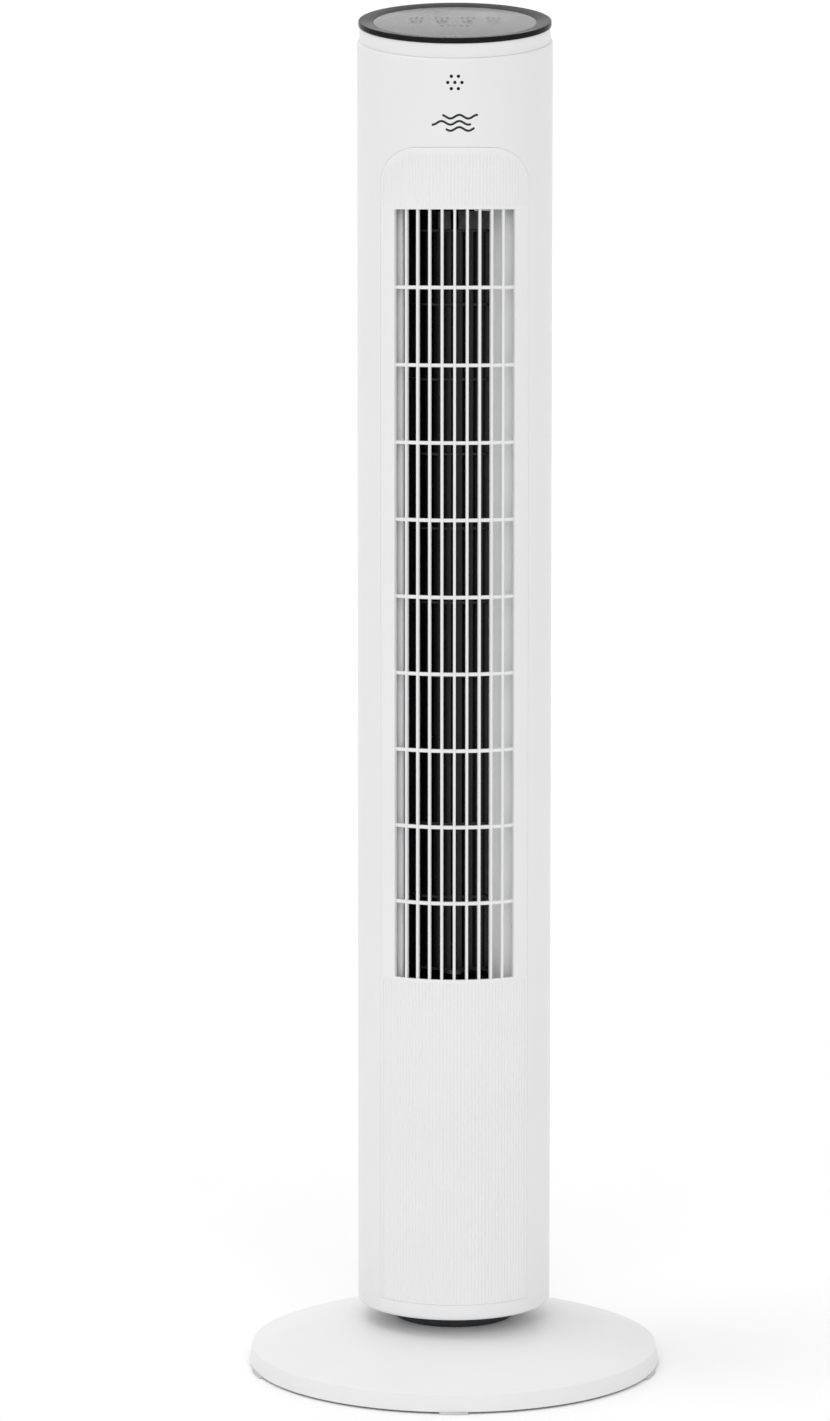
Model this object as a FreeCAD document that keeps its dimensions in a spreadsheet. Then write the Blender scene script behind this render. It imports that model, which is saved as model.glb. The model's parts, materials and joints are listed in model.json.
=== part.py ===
import FreeCAD, Part
import math
import os
import re

import Sketcher
from fcgear import fcgear, involute

# A tower fan in its own frame: +Z up, the floor at Z 0, the tower's axis on X 0 Y 0, the outlet facing -Y.
# Lengths are in millimetres and angles in degrees.

SIZES = {
    # tower
    "tower_radius": "55.75",
    "shell_wall": "2.2",
    "tower_bottom": "37.1",
    "tower_edge_round": "2",
    "top_slant": "12.6",
    "shoulder_round": "1.1",
    "brow_height": "61.5",
    "chin_height": "9",
    # front panel and its barred outlet
    "panel_width": "83.9",
    "panel_corner": "20",
    "panel_header": "34.5",
    "sill_height": "6.8",
    "outlet_width": "67.9",
    "outlet_height": "435.8",
    "upright_count": "9",
    "upright_angle": "7.5",
    "upright_width": "1.6",
    "crossbar_count": "9",
    "crossbar_height": "2",
    "bar_depth": "2.4",
    "bar_setback": "0.6",
    "rib_angle": "2.12",
    "rib_depth": "0.3",
    "rib_tool_radius": "1",
    "rib_margin": "4",
    "panel_gap": "0.35",
    # rear intake
    "slot_height": "4.5",
    "slot_rib": "2",
    "column_count": "6",
    "column_angle": "21",
    "column_rib": "2.6",
    "intake_turn": "4.2",
    "intake_drop": "2.6",
    "intake_sill": "5",
    # control head
    "collar_radius": "54.45",
    "collar_height": "8.2",
    "rim_radius": "55",
    "rim_height": "3.1",
    "dish_drop": "1.2",
    "lens_radius": "46.6",
    "lens_thickness": "1.8",
    "ledge_width": "3.6",
    "board_thickness": "1.6",
    "vent_hole_radius": "0.95",
    "vent_spacing": "3.95",
    "vent_drop": "13.14",
    # wheel and its air path
    "scroll_room": "18.55",
    "scroll_start": "14.6",
    "scroll_end": "127",
    "duct_wall": "1.6",
    "blade_count": "35",
    "blade_depth": "7.5",
    "blade_lean": "5.4",
    "blade_bow": "1.1",
    "blade_thickness": "0.9",
    "stage_count": "10",
    "disc_thickness": "1.2",
    "wheel_end_room": "9",
    "head_room": "12.8",
    "plate_thickness": "3",
    "hub_radius": "10",
    "shaft_radius": "4",
    "pin_radius": "2.2",
    # fan motor
    "can_room": "11.5",
    "can_wall": "2",
    "winding_room": "9.05",
    "stack_height": "24",
    "air_gap": "0.5",
    "rotor_radius": "21.5",
    "mount_post": "23",
    "lug_radius": "5",
    "rubber_height": "4",
    # turning gear and electronics
    "post_radius": "8",
    "post_bore": "5.5",
    "swing_motor_radius": "18",
    "swing_motor_room": "6.55",
    "swing_motor_height": "15",
    "swing_motor_ear": "23",
    "sun_teeth": "44",
    "pinion_teeth": "14",
    "gear_height": "6",
    "swivel_height": "9.4",
    "tray_height": "47",
    "electronics_height": "44",
    "board_width": "68",
    "board_depth": "48",
    "board_screw_x": "29",
    "board_screw_y": "20",
    "lead_radius": "1.6",
    # base
    "base_radius": "119.2",
    "base_flare": "1.4",
    "base_side": "9.7",
    "base_rise": "17",
    "base_dome_power": "2.5",
    "base_wall": "2.6",
    "foot_height": "1.2",
    "foot_width": "16.4",
    "foot_length": "19",
    "foot_count": "5",
    "foot_proud": "1.2",
    "neck_radius": "34",
    "neck_gap": "0.8",
    "neck_screw_circle": "22",
    "plate_screw_circle": "60",
    "inlet_radius": "2.8",
    "gland_wall": "0.8",
    # fits
    "fit_gap": "0.2",
    "running_gap": "0.04",
    "screw_radius": "1.6",
    "shell_screw_head": "3.1",
}

# Places that follow from the sizes, each in terms of sizes and of places above it.
PLACES = {
    "inner_radius": "tower_radius - shell_wall",
    "fitted_radius": "inner_radius - fit_gap",
    "floor_top": "tower_bottom + plate_thickness",
    "swivel_top": "tower_bottom + swivel_height",
    "tray_bottom": "tower_bottom + tray_height",
    "board_bottom": "tray_bottom + plate_thickness + 6",
    "motor_bottom": "tray_bottom + electronics_height",
    "winding_radius": "(stack_radius - rotor_radius) / 2 - 2.5",
    "cap_height": "stack_height / 2 + 2 * winding_radius + winding_room",
    "motor_middle": "motor_bottom + cap_height + 0.3",
    "motor_top": "motor_middle + cap_height + 0.3",
    "lower_plate": "motor_top + rubber_height + mount_post",
    "duct_bottom": "lower_plate + plate_thickness",
    "outlet_bottom": "duct_bottom + sill_height",
    "outlet_top": "outlet_bottom + outlet_height",
    "duct_top": "outlet_top + 1.4",
    "panel_bottom": "tower_bottom + chin_height",
    "panel_top": "outlet_top + panel_header",
    "seam": "panel_top + brow_height",
    "seam_front": "seam - tower_radius * tan(top_slant)",
    "vent_height": "seam_front - vent_drop",
    "rim_bottom": "seam + collar_height",
    "rim_top": "rim_bottom + rim_height",
    "lens_top": "rim_top - dish_drop",
    "lens_bottom": "lens_top - lens_thickness",
    "ledge_bottom": "seam + 1",
    "board_top": "ledge_bottom - 0.25",
    "wheel_radius": "inner_radius - scroll_room",
    "wheel_bottom": "duct_bottom + wheel_end_room",
    "wheel_top": "duct_top - head_room",
    "can_radius": "inner_radius - can_room",
    "stack_radius": "can_radius - can_wall - fit_gap",
    "gear_centres": "inner_radius - swing_motor_radius - swing_motor_room",
    "gear_module": "2 * gear_centres / (sun_teeth + pinion_teeth)",
    "gear_bottom": "swivel_top + 0.5",
    "gear_top": "gear_bottom + gear_height",
    "swing_motor_bottom": "gear_top + 4.5",
    "base_edge": "base_radius - base_flare",
    "base_edge_height": "foot_height + base_side",
    "base_top": "base_edge_height + base_rise",
    "ceiling": "base_top - base_wall",
    "neck_top": "tower_bottom - neck_gap",
    "neck_hole": "neck_radius - 3",
    "inlet_height": "foot_height + base_side / 2 - 0.75",
    "lead_place": "inner_radius - 3.75",
    "flange_radius": "can_radius + 7.2",
    "mount_place": "can_radius + 3.75",
    "lug_place": "fitted_radius - lug_radius - 0.5",
    "head_radius": "2.1 * screw_radius",
    "intake_bottom": "outlet_bottom + intake_sill",
    "intake_top": "outlet_top - intake_drop",
    "head_screw_place": "lens_radius - ledge_width + 2.2",
}

UP = FreeCAD.Vector(0, 0, 1)
ORIGIN = FreeCAD.Vector(0, 0, 0)
SIDES = ("0 - ", "0 + ")
LEAD_ANGLE = 150
LUG_ANGLES = (60, 120)
QUARTER_ANGLES = range(45, 405, 90)
PLATE_SCREW_ANGLES = range(0, 360, 72)
MOUNT_ANGLES = range(0, 360, 90)
PLATE_SCREW_HEIGHTS = {
    "tower_floor": "floor_top + 5",
    "lower_duct_plate": "lower_plate - 5",
    "upper_duct_plate": "duct_top + 8",
}

document = FreeCAD.newDocument("tower_fan")
sheet = document.addObject("Spreadsheet::Sheet", "dims")
pieces = {}


def fill_sheet():
    for row, (alias, number) in enumerate(SIZES.items(), 1):
        sheet.set(f"A{row}", alias)
        sheet.set(f"B{row}", number)
        sheet.setAlias(f"B{row}", alias)
    document.recompute()


def bound(expression):
    """An expression in sizes and places, rewritten to name only cells of the sheet."""
    def spell_out(match):
        word = match.group(0)
        if word in PLACES:
            return "(" + bound(PLACES[word]) + ")"
        return "dims." + word if word in SIZES else word
    return re.sub(r"[a-z_]+", spell_out, str(expression))


def value(expression):
    """The number that an expression in sizes and places gives."""
    return float(sheet.evalExpression(bound(expression).replace("dims.", "")))


def polar(radius, angle):
    """The x and y of a point, as expressions; the angle is from +X towards +Y."""
    return f"({radius}) * cos({angle})", f"({radius}) * sin({angle})"


def keep(label, item):
    item.Label = label
    pieces[label] = item
    return item


def shaped(label, shape, place=ORIGIN):
    """A piece whose shape is worked out below with Part's functions."""
    item = document.addObject("Part::Feature", label)
    item.Shape = shape
    item.Placement = FreeCAD.Placement(place, FreeCAD.Rotation())
    return keep(label, item)


# ---- sketched pieces ----

def new_body(label):
    return keep(label, document.addObject("PartDesign::Body", label))


def new_sketch(body, role, height="0"):
    sketch = body.newObject("Sketcher::SketchObject", body.Label + "_sketch")
    plane = next(feature for feature in body.Origin.OriginFeatures if feature.Role == role)
    sketch.AttachmentSupport = [(plane, "")]
    sketch.MapMode = "FlatFace"
    sketch.setExpression(".AttachmentOffset.Base.z", bound(height))
    return sketch


def hold(sketch, kind, geometry, point, expression):
    """Hold one point of the sketch at a bound distance from the origin."""
    if abs(value(expression)) < 1e-6:
        axis = -2 if kind == "DistanceX" else -1
        sketch.addConstraint(Sketcher.Constraint("PointOnObject", geometry, point, axis))
        return
    at = sketch.addConstraint(Sketcher.Constraint(kind, -1, 1, geometry, point, value(expression)))
    sketch.setExpression(f"Constraints[{at}]", bound(expression))


def draw_outline(sketch, points):
    """A closed outline of straight sides, each corner held by two bound distances."""
    corners = [FreeCAD.Vector(value(x), value(y), 0) for x, y in points]
    following = corners[1:] + corners[:1]
    sides = [sketch.addGeometry(Part.LineSegment(a, b)) for a, b in zip(corners, following)]
    for side, after in zip(sides, sides[1:] + sides[:1]):
        sketch.addConstraint(Sketcher.Constraint("Coincident", side, 2, after, 1))
    for side, (x, y) in zip(sides, points):
        hold(sketch, "DistanceX", side, 1, x)
        hold(sketch, "DistanceY", side, 1, y)


def draw_circles(sketch, circles):
    for x, y, radius in circles:
        centre = FreeCAD.Vector(value(x), value(y), 0)
        circle = sketch.addGeometry(Part.Circle(centre, UP, value(radius)))
        hold(sketch, "DistanceX", circle, 3, x)
        hold(sketch, "DistanceY", circle, 3, y)
        at = sketch.addConstraint(Sketcher.Constraint("Radius", circle, value(radius)))
        sketch.setExpression(f"Constraints[{at}]", bound(radius))


def turned(label, outline):
    """A round piece: an outline of radius and height, turned about Z."""
    body = new_body(label)
    sketch = new_sketch(body, "XZ_Plane")
    draw_outline(sketch, outline)
    turn = body.newObject("PartDesign::Revolution", label + "_turn")
    turn.Profile = (sketch, [""])
    turn.ReferenceAxis = (sketch, ["V_Axis"])
    turn.Angle = 360
    return body


def ring(label, inner, outer, bottom, top):
    return turned(label, [(inner, bottom), (outer, bottom), (outer, top), (inner, top)])


def padded(body, bottom, height, circles=(), outline=()):
    """Add upright material to a body, from circles (inner ones are holes) and an outline."""
    sketch = new_sketch(body, "XY_Plane", bottom)
    if outline:
        draw_outline(sketch, outline)
    draw_circles(sketch, circles)
    pad = body.newObject("PartDesign::Pad", body.Label + "_pad")
    pad.Profile = (sketch, [""])
    pad.setExpression("Length", bound(height))
    return body


def drilled(body, top, depth, circles):
    """Cut round holes down from a height; the cut has to take material away."""
    document.recompute()
    before = body.Shape.Volume
    sketch = new_sketch(body, "XY_Plane", top)
    draw_circles(sketch, circles)
    pocket = body.newObject("PartDesign::Pocket", body.Label + "_holes")
    pocket.Profile = (sketch, [""])
    pocket.setExpression("Length", bound(depth))
    document.recompute()
    assert body.Shape.Volume < before, body.Label
    return body


def circle_row(circle, angles, radius):
    """Equal circles at several angles on a larger circle about Z."""
    return [polar(circle, angle) + (radius,) for angle in angles]


def block(x, y, width, depth):
    """A rectangle about a centre, as an outline for padded."""
    left, right = f"{x} - ({width}) / 2", f"{x} + ({width}) / 2"
    front, back = f"{y} - ({depth}) / 2", f"{y} + ({depth}) / 2"
    return [(left, front), (right, front), (right, back), (left, back)]


# ---- shapes for the pieces that sketches do not suit ----

def tube(inner, outer, bottom, top):
    place = FreeCAD.Vector(0, 0, value(bottom))
    height = value(top) - value(bottom)
    solid = Part.makeCylinder(value(outer), height, place)
    if value(inner) <= 0:
        return solid
    return solid.cut(Part.makeCylinder(value(inner), height, place))


def peg(radius, bottom, top, x="0", y="0"):
    place = FreeCAD.Vector(value(x), value(y), value(bottom))
    return Part.makeCylinder(value(radius), value(top) - value(bottom), place)


def screw(radius, shank_from, shank_to, x, y):
    """An upright pan-head screw with its head below shank_from."""
    shank = peg(radius, shank_from, shank_to, x, y)
    head = peg(f"2.1 * {radius}", f"{shank_from} - 1.4 * {radius}", shank_from, x, y)
    return shank.fuse(head)


def slant_slab(bottom, top):
    """The space between two planes that rise towards the back with the top's slant."""
    reach = 3 * value("tower_radius")
    thickness = (value(top) - value(bottom)) * math.cos(math.radians(value("top_slant")))
    slab = Part.makeBox(2 * reach, 2 * reach, thickness, FreeCAD.Vector(-reach, -reach, 0))
    turn = FreeCAD.Rotation(FreeCAD.Vector(1, 0, 0), value("top_slant"))
    slab.Placement = FreeCAD.Placement(FreeCAD.Vector(0, 0, value(bottom)), turn)
    return slab


def slanted(inner, outer, bottom, top, x="0", y="0"):
    """A round wall whose two ends follow the top's slant, with heights given on the axis."""
    low, high = f"{bottom} - tower_radius", f"{top} + tower_radius"
    solid = peg(outer, low, high, x, y)
    if value(inner) > 0:
        solid = solid.cut(peg(inner, low, high, x, y))
    return solid.common(slant_slab(bottom, top))


def front_prism(width, bottom, top, corner):
    """An upright plate from the axis out past the front, seen square on as a rounded rectangle."""
    half, low, high = value(width) / 2, value(bottom), value(top)
    reach = 2 * value("tower_radius")
    plate = Part.makeBox(2 * half, reach, high - low, FreeCAD.Vector(-half, -reach, low))
    if corner <= 0:
        return plate
    along_depth = [edge for edge in plate.Edges if edge.BoundBox.YLength > reach / 2]
    upper = [edge for edge in along_depth if edge.BoundBox.ZMin > (low + high) / 2]
    return plate.makeFillet(corner, upper)


def wall_sector(inner, outer, start, sweep, bottom, height):
    """Part of an upright round wall; angles run from +X towards +Y."""
    place = FreeCAD.Vector(0, 0, bottom)
    whole = Part.makeCylinder(outer, height, place, UP, sweep)
    whole = whole.cut(Part.makeCylinder(inner, height, place))
    whole.rotate(ORIGIN, UP, start)
    return whole


def strip(points, thickness, bottom, top):
    """An upright bent sheet that follows the points, thickened to the left of their direction."""
    centres = [FreeCAD.Vector(x, y, value(bottom)) for x, y in points]
    wire = Part.makePolygon(centres)
    face = wire.makeOffset2D(value(thickness), 1, True, True)
    return Part.Face(face).extrude(UP * (value(top) - value(bottom)))


# ---- base ----

def dome_height(radius):
    """The height of the base's top at a radius: flat by the neck, steeper towards the edge."""
    power = value("base_dome_power")
    edge = value("base_edge")
    share = (1 - (radius / edge) ** power) / (1 - (value("neck_radius") / edge) ** power)
    return value("base_edge_height") + value("base_rise") * share


def dome_curve(shift, outer):
    """The dome's section from the neck out to a radius, lowered by a shift."""
    inner = value("neck_radius")
    steps = 6
    radii = [inner + (outer - inner) * step / steps for step in range(steps + 1)]
    curve = Part.BSplineCurve()
    curve.interpolate([FreeCAD.Vector(radius, 0, dome_height(radius) - shift) for radius in radii])
    return curve.toShape()


def make_base_shell():
    wall = value("base_wall")
    inner_edge = value("base_edge") - wall
    foot = value("foot_height")
    upper = dome_curve(0, value("base_edge"))
    lower = dome_curve(wall, inner_edge)
    hole = value("neck_hole + fit_gap")
    corners = [
        upper.Vertexes[-1].Point,
        FreeCAD.Vector(value("base_radius"), 0, foot),
        FreeCAD.Vector(value("base_radius") - wall, 0, foot),
        lower.Vertexes[-1].Point,
    ]
    mouth = [
        lower.Vertexes[0].Point,
        FreeCAD.Vector(hole, 0, value("ceiling")),
        FreeCAD.Vector(hole, 0, value("base_top")),
        upper.Vertexes[0].Point,
    ]
    edges = [upper, lower]
    for chain in (corners, mouth):
        edges += [Part.makeLine(a, b) for a, b in zip(chain, chain[1:])]
    section = Part.Face(Part.Wire(Part.__sortEdges__(edges)))
    shell = section.revolve(ORIGIN, UP, 360)
    rim = [edge for edge in shell.Edges
           if abs(edge.BoundBox.ZMin - value("base_edge_height")) < 0.01
           and abs(edge.BoundBox.XMax - value("base_edge")) < 0.01 and edge.BoundBox.ZLength < 0.01]
    shell = shell.makeFillet(1, rim)
    reach = value("base_radius")
    inlet = Part.makeCylinder(value("inlet_radius + gland_wall + fit_gap"), reach / 4,
                              FreeCAD.Vector(0, 0.85 * reach, value("inlet_height")),
                              FreeCAD.Vector(0, 1, 0))
    shaped("base_shell", shell.cut(inlet))


def make_cord_gland():
    """A rubber bush with a lip each side of the base's wall; the supply cord would pass through it."""
    bore, body = value("inlet_radius"), value("inlet_radius + gland_wall")
    outside = value("base_radius + foot_proud")
    wall = value("base_radius")
    lip_end = wall - value("base_wall + base_flare + 0.2")
    inside = lip_end - 1
    place = FreeCAD.Vector(0, 0, value("inlet_height"))
    along = FreeCAD.Vector(0, 1, 0)

    def length_of(radius, start, end):
        return Part.makeCylinder(radius, end - start, place + along * start, along)

    gland = length_of(body, inside, outside)
    gland = gland.fuse(length_of(body + 0.4, wall + 0.1, outside))
    gland = gland.fuse(length_of(body + 0.3, inside, lip_end))
    shaped("cord_gland", gland.cut(length_of(bore, inside - 1, outside + 1)).removeSplitter())


def make_base_floor():
    top = "foot_height + 2"
    plate = turned("base_plate", [
        ("0", "foot_height"), ("base_edge - base_wall - fit_gap", "foot_height"),
        ("base_edge - base_wall - fit_gap", top), ("0", top)])
    gland_notch = ("0", "base_radius - 6", "9")
    holes = circle_row("plate_screw_circle", PLATE_SCREW_ANGLES, "screw_radius + fit_gap")
    drilled(plate, top, "3", holes + [gland_notch])
    sinks = circle_row("plate_screw_circle", PLATE_SCREW_ANGLES, "head_radius + fit_gap")
    drilled(plate, "foot_height + 1.2", "2", sinks)
    ballast_top = f"{top} + 4 + fit_gap"
    ballast = ring("ballast_plate", "neck_radius + 10", "base_edge - 14", f"{top} + fit_gap", ballast_top)
    threads = circle_row("plate_screw_circle", PLATE_SCREW_ANGLES, "screw_radius + fit_gap / 4")
    drilled(ballast, ballast_top, "5", threads)


def make_rubber_feet():
    """Flat pads under the rim that stand a little proud of it all round."""
    outer = value("base_radius + foot_proud")
    inner = outer - value("foot_length")
    sweep = math.degrees(value("foot_width") / outer)
    feet = []
    for number in range(int(value("foot_count"))):
        start = -90 + number * 360 / value("foot_count") - sweep / 2
        pad = wall_sector(inner, outer, start, sweep, 0, value("foot_height"))
        feet.append(pad)
    shaped("rubber_feet", Part.makeCompound(feet))


def make_neck():
    track_inner, track_outer = "post_radius + 10", "neck_radius - 4"
    neck = turned("neck", [
        ("post_radius + fit_gap", "ceiling"), ("neck_hole", "ceiling"), ("neck_hole", "base_top"),
        ("neck_radius", "base_top"), ("neck_radius", "neck_top"), (track_outer, "neck_top"),
        (track_outer, "neck_top - 2"), (track_inner, "neck_top - 2"),
        (track_inner, "neck_top"), ("post_radius + fit_gap", "neck_top")])
    threads = circle_row("neck_screw_circle", QUARTER_ANGLES, "screw_radius + fit_gap / 4")
    drilled(neck, "neck_top - 3", "neck_top - 3 - ceiling", threads)
    ring("slide_ring", track_inner + " + fit_gap", track_outer + " - fit_gap",
         "neck_top - 2", "tower_bottom - 0.1")
    lock = ring("base_lock_ring", "post_radius + fit_gap", "neck_radius", "ceiling - 3", "ceiling")
    holes = circle_row("neck_screw_circle", QUARTER_ANGLES, "screw_radius + fit_gap")
    drilled(lock, "ceiling", "4", holes)


def make_pivot():
    clip = "gear_top + 0.4"
    neck_of_clip = "post_radius - 0.8"
    turned("pivot_tube", [
        ("post_bore", "ceiling - 5"), ("post_radius + 4", "ceiling - 5"), ("post_radius + 4", "ceiling - 3"),
        ("post_radius", "ceiling - 3"), ("post_radius", clip), (neck_of_clip, clip),
        (neck_of_clip, clip + " + 1.2"), ("post_radius", clip + " + 1.2"),
        ("post_radius", clip + " + 2.6"), ("post_bore", clip + " + 2.6")])
    spring_clip = tube("post_radius - 0.7", "post_radius + 3", clip + " + 0.1", clip + " + 1.1")
    mouth = Part.makeBox(40, 2 * value("post_radius") - 4, 10,
                         FreeCAD.Vector(-40, 2 - value("post_radius"), value(clip) - 4))
    shaped("retaining_clip", spring_clip.cut(mouth))
    floor_bore = "post_radius + running_gap"
    ring("swivel_bush", floor_bore, "post_radius + 3", "tower_bottom", "swivel_top")


def make_base_screws():
    screws = []
    for angle in QUARTER_ANGLES:
        x, y = polar("neck_screw_circle", angle)
        screws.append(screw("screw_radius", "ceiling - 3", "neck_top - 4", x, y))
    for angle in PLATE_SCREW_ANGLES:
        x, y = polar("plate_screw_circle", angle)
        shank = peg("screw_radius", "foot_height + 0.1", "foot_height + 6", x, y)
        screws.append(shank.fuse(peg("head_radius", "foot_height + 0.1", "foot_height + 1.1", x, y)))
    shaped("base_screws", Part.makeCompound(screws))


# ---- turning gear ----

def gear_solid(teeth, bottom, height):
    """A spur gear with involute teeth, one of them on +X, thinned a little for backlash."""
    builder = fcgear.FCWireBuilder()
    involute.CreateExternalGear(builder, value("gear_module"), int(value(teeth)), 20, True, shiftCoeff=-0.12)
    wire = Part.Wire([curve.toShape() for curve in builder.wire])
    wire.translate(UP * value(bottom))
    return Part.Face(wire).extrude(UP * value(height))


def make_gears():
    sun = gear_solid("sun_teeth", "gear_bottom", "gear_height")
    sun = sun.cut(peg("post_radius + fit_gap", "gear_bottom - 1", "gear_top + 1"))
    shaped("fixed_gear", sun)
    pinion = gear_solid("pinion_teeth", "gear_bottom", "gear_height")
    shaft = peg("2.5", "gear_bottom", "swing_motor_bottom + 4")
    shaped("swing_pinion", pinion.fuse(shaft), FreeCAD.Vector(0, value("gear_centres"), 0))


def make_swing_motor():
    body = new_body("swing_motor")
    nose = "swing_motor_bottom - 3"
    padded(body, "swing_motor_bottom", "swing_motor_height", [("0", "gear_centres", "swing_motor_radius")])
    padded(body, nose, "3", [("0", "gear_centres", "5")])
    ear_bar = block("0", "gear_centres", "2 * swing_motor_ear + 8", "8")
    padded(body, "swing_motor_bottom", "1.2", outline=ear_bar)
    drilled(body, "swing_motor_bottom + 5", "8", [("0", "gear_centres", "2.5 + running_gap")])
    ears = [(side + "swing_motor_ear", "gear_centres", "screw_radius + fit_gap") for side in SIDES]
    drilled(body, "swing_motor_bottom + 1.2", "2", ears)
    screws = []
    for x, y, _ in ears:
        shank = peg("screw_radius", "swing_motor_bottom - 6", "swing_motor_bottom + 1.3", x, y)
        head = peg("head_radius", "swing_motor_bottom + 1.3", "swing_motor_bottom + 3.4", x, y)
        screws.append(shank.fuse(head))
    shaped("swing_motor_screws", Part.makeCompound(screws))


def make_tower_floor():
    bore = "post_radius + 3 + fit_gap"
    floor = turned("tower_floor", [
        (bore, "tower_bottom"), ("fitted_radius", "tower_bottom"), ("fitted_radius", "floor_top"),
        ("post_radius + 7", "floor_top"), ("post_radius + 7", "swivel_top"), (bore, "swivel_top")])
    posts = [(side + "swing_motor_ear", "gear_centres", "4") for side in SIDES]
    padded(floor, "floor_top - 1", "swing_motor_bottom - floor_top + 1", posts)
    lugs = circle_row("lug_place", LUG_ANGLES, "lug_radius")
    padded(floor, "floor_top - 1", "11", lugs)
    drilled(floor, "swing_motor_bottom", "7",
            [(x, y, "screw_radius + fit_gap / 4") for x, y, _ in posts])


# ---- electronics ----

def make_tray():
    tray = turned("board_tray", [
        ("10", "tray_bottom"), ("fitted_radius", "tray_bottom"),
        ("fitted_radius", "tray_bottom + plate_thickness"), ("10", "tray_bottom + plate_thickness")])
    corners = [(across + "board_screw_x", along + "board_screw_y") for across in SIDES for along in SIDES]
    padded(tray, "tray_bottom + 2", "board_bottom - tray_bottom - 2", [(x, y, "3") for x, y in corners])
    drilled(tray, "board_bottom", "5", [(x, y, "1.25") for x, y in corners])
    board = new_body("power_board")
    padded(board, "board_bottom", "board_thickness", [(x, y, "1.6") for x, y in corners],
           block("0", "0", "board_width", "board_depth"))
    top = "board_bottom + board_thickness"
    padded(new_body("run_capacitor"), top, "26", outline=block("0 - 10", "9", "30", "16"))
    padded(new_body("transformer"), top, "20", outline=block("14", "0 - 10", "22", "18"))
    padded(new_body("terminal_block"), top, "10", outline=block("0 - 16", "0 - 14", "22", "9"))
    screws = [screw("1.2", "0 - board_bottom - board_thickness - 0.05", "0 - board_bottom + 4", x, y)
              for x, y in corners]
    for item in screws:
        item.rotate(ORIGIN, FreeCAD.Vector(1, 0, 0), 180)
    shaped("board_screws", Part.makeCompound(screws))


def lead_hole():
    return circle_row("lead_place", [LEAD_ANGLE], "1.5 * lead_radius")


def make_lead():
    """The lead from the power board up to the control board, held by clips beside the shell."""
    x, y = polar("lead_place", LEAD_ANGLE)
    low, high = "board_bottom + 4", "seam - 42"
    shaped("control_lead", peg("lead_radius", low, high, x, y))
    clips = []
    for share in (0.2, 0.4, 0.6, 0.8):
        height = f"duct_bottom + {share} * (duct_top - duct_bottom)"
        clip = peg("2 * lead_radius + fit_gap", height, height + " + 6", x, y)
        clips.append(clip.cut(peg("lead_radius + fit_gap", height + " - 1", height + " + 7", x, y)))
    shaped("lead_clips", Part.makeCompound(clips))


# ---- fan motor and wheel ----

def make_motor_caps():
    bore = "shaft_radius + 4 + fit_gap"
    inner = "can_radius - can_wall"
    turned("motor_lower_cap", [
        (bore, "motor_bottom"), ("can_radius", "motor_bottom"), ("can_radius", "motor_middle - 0.3"),
        (inner, "motor_middle - 0.3"), (inner, "motor_bottom + 3"), (bore + " + 3", "motor_bottom + 3"),
        (bore + " + 3", "motor_bottom + 10"), (bore, "motor_bottom + 10")])
    upper = turned("motor_upper_cap", [
        (bore, "motor_top - 10"), (bore + " + 3", "motor_top - 10"), (bore + " + 3", "motor_top - 3"),
        (inner, "motor_top - 3"), (inner, "motor_middle + 0.3"), ("can_radius", "motor_middle + 0.3"),
        ("can_radius", "motor_top - 3"), ("flange_radius", "motor_top - 3"),
        ("flange_radius", "motor_top"), (bore, "motor_top")])
    drilled(upper, "motor_top", "4", circle_row("mount_place", MOUNT_ANGLES, "screw_radius + fit_gap"))
    drilled(upper, "motor_top", "4", lead_hole())
    bushes = [tube("shaft_radius + running_gap", "shaft_radius + 4", f"{low} + 0.5", f"{low} + 9.5")
              for low in ("motor_bottom", "motor_top - 10")]
    shaped("motor_bushes", Part.makeCompound(bushes))


def make_stator():
    low = "motor_middle - stack_height / 2"
    high = "motor_middle + stack_height / 2"
    poles = 8
    stack = tube("rotor_radius + air_gap", "stack_radius", low, high)
    for number in range(poles):
        x, y = polar("(rotor_radius + stack_radius) / 2 + 1", f"{number} * 360 / {poles} + 22.5")
        stack = stack.cut(peg("(stack_radius - rotor_radius) / 4", f"{low} - 1", f"{high} + 1", x, y))
    shaped("stator_stack", stack)
    middle = value("(rotor_radius + stack_radius) / 2 + 0.5")
    thick = value("winding_radius")
    windings = []
    for height in (value(low) - thick - 0.3, value(high) + thick + 0.3):
        windings.append(Part.makeTorus(middle, thick, FreeCAD.Vector(0, 0, height)))
    shaped("stator_windings", Part.makeCompound(windings))


def make_rotor():
    ring("rotor_core", "shaft_radius + 0.02", "rotor_radius", "motor_middle - stack_height / 2",
         "motor_middle + stack_height / 2")
    turned("motor_shaft", [("0", "motor_bottom - 3"), ("shaft_radius", "motor_bottom - 3"),
                           ("shaft_radius", "wheel_bottom + 8"), ("0", "wheel_bottom + 8")])


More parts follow.
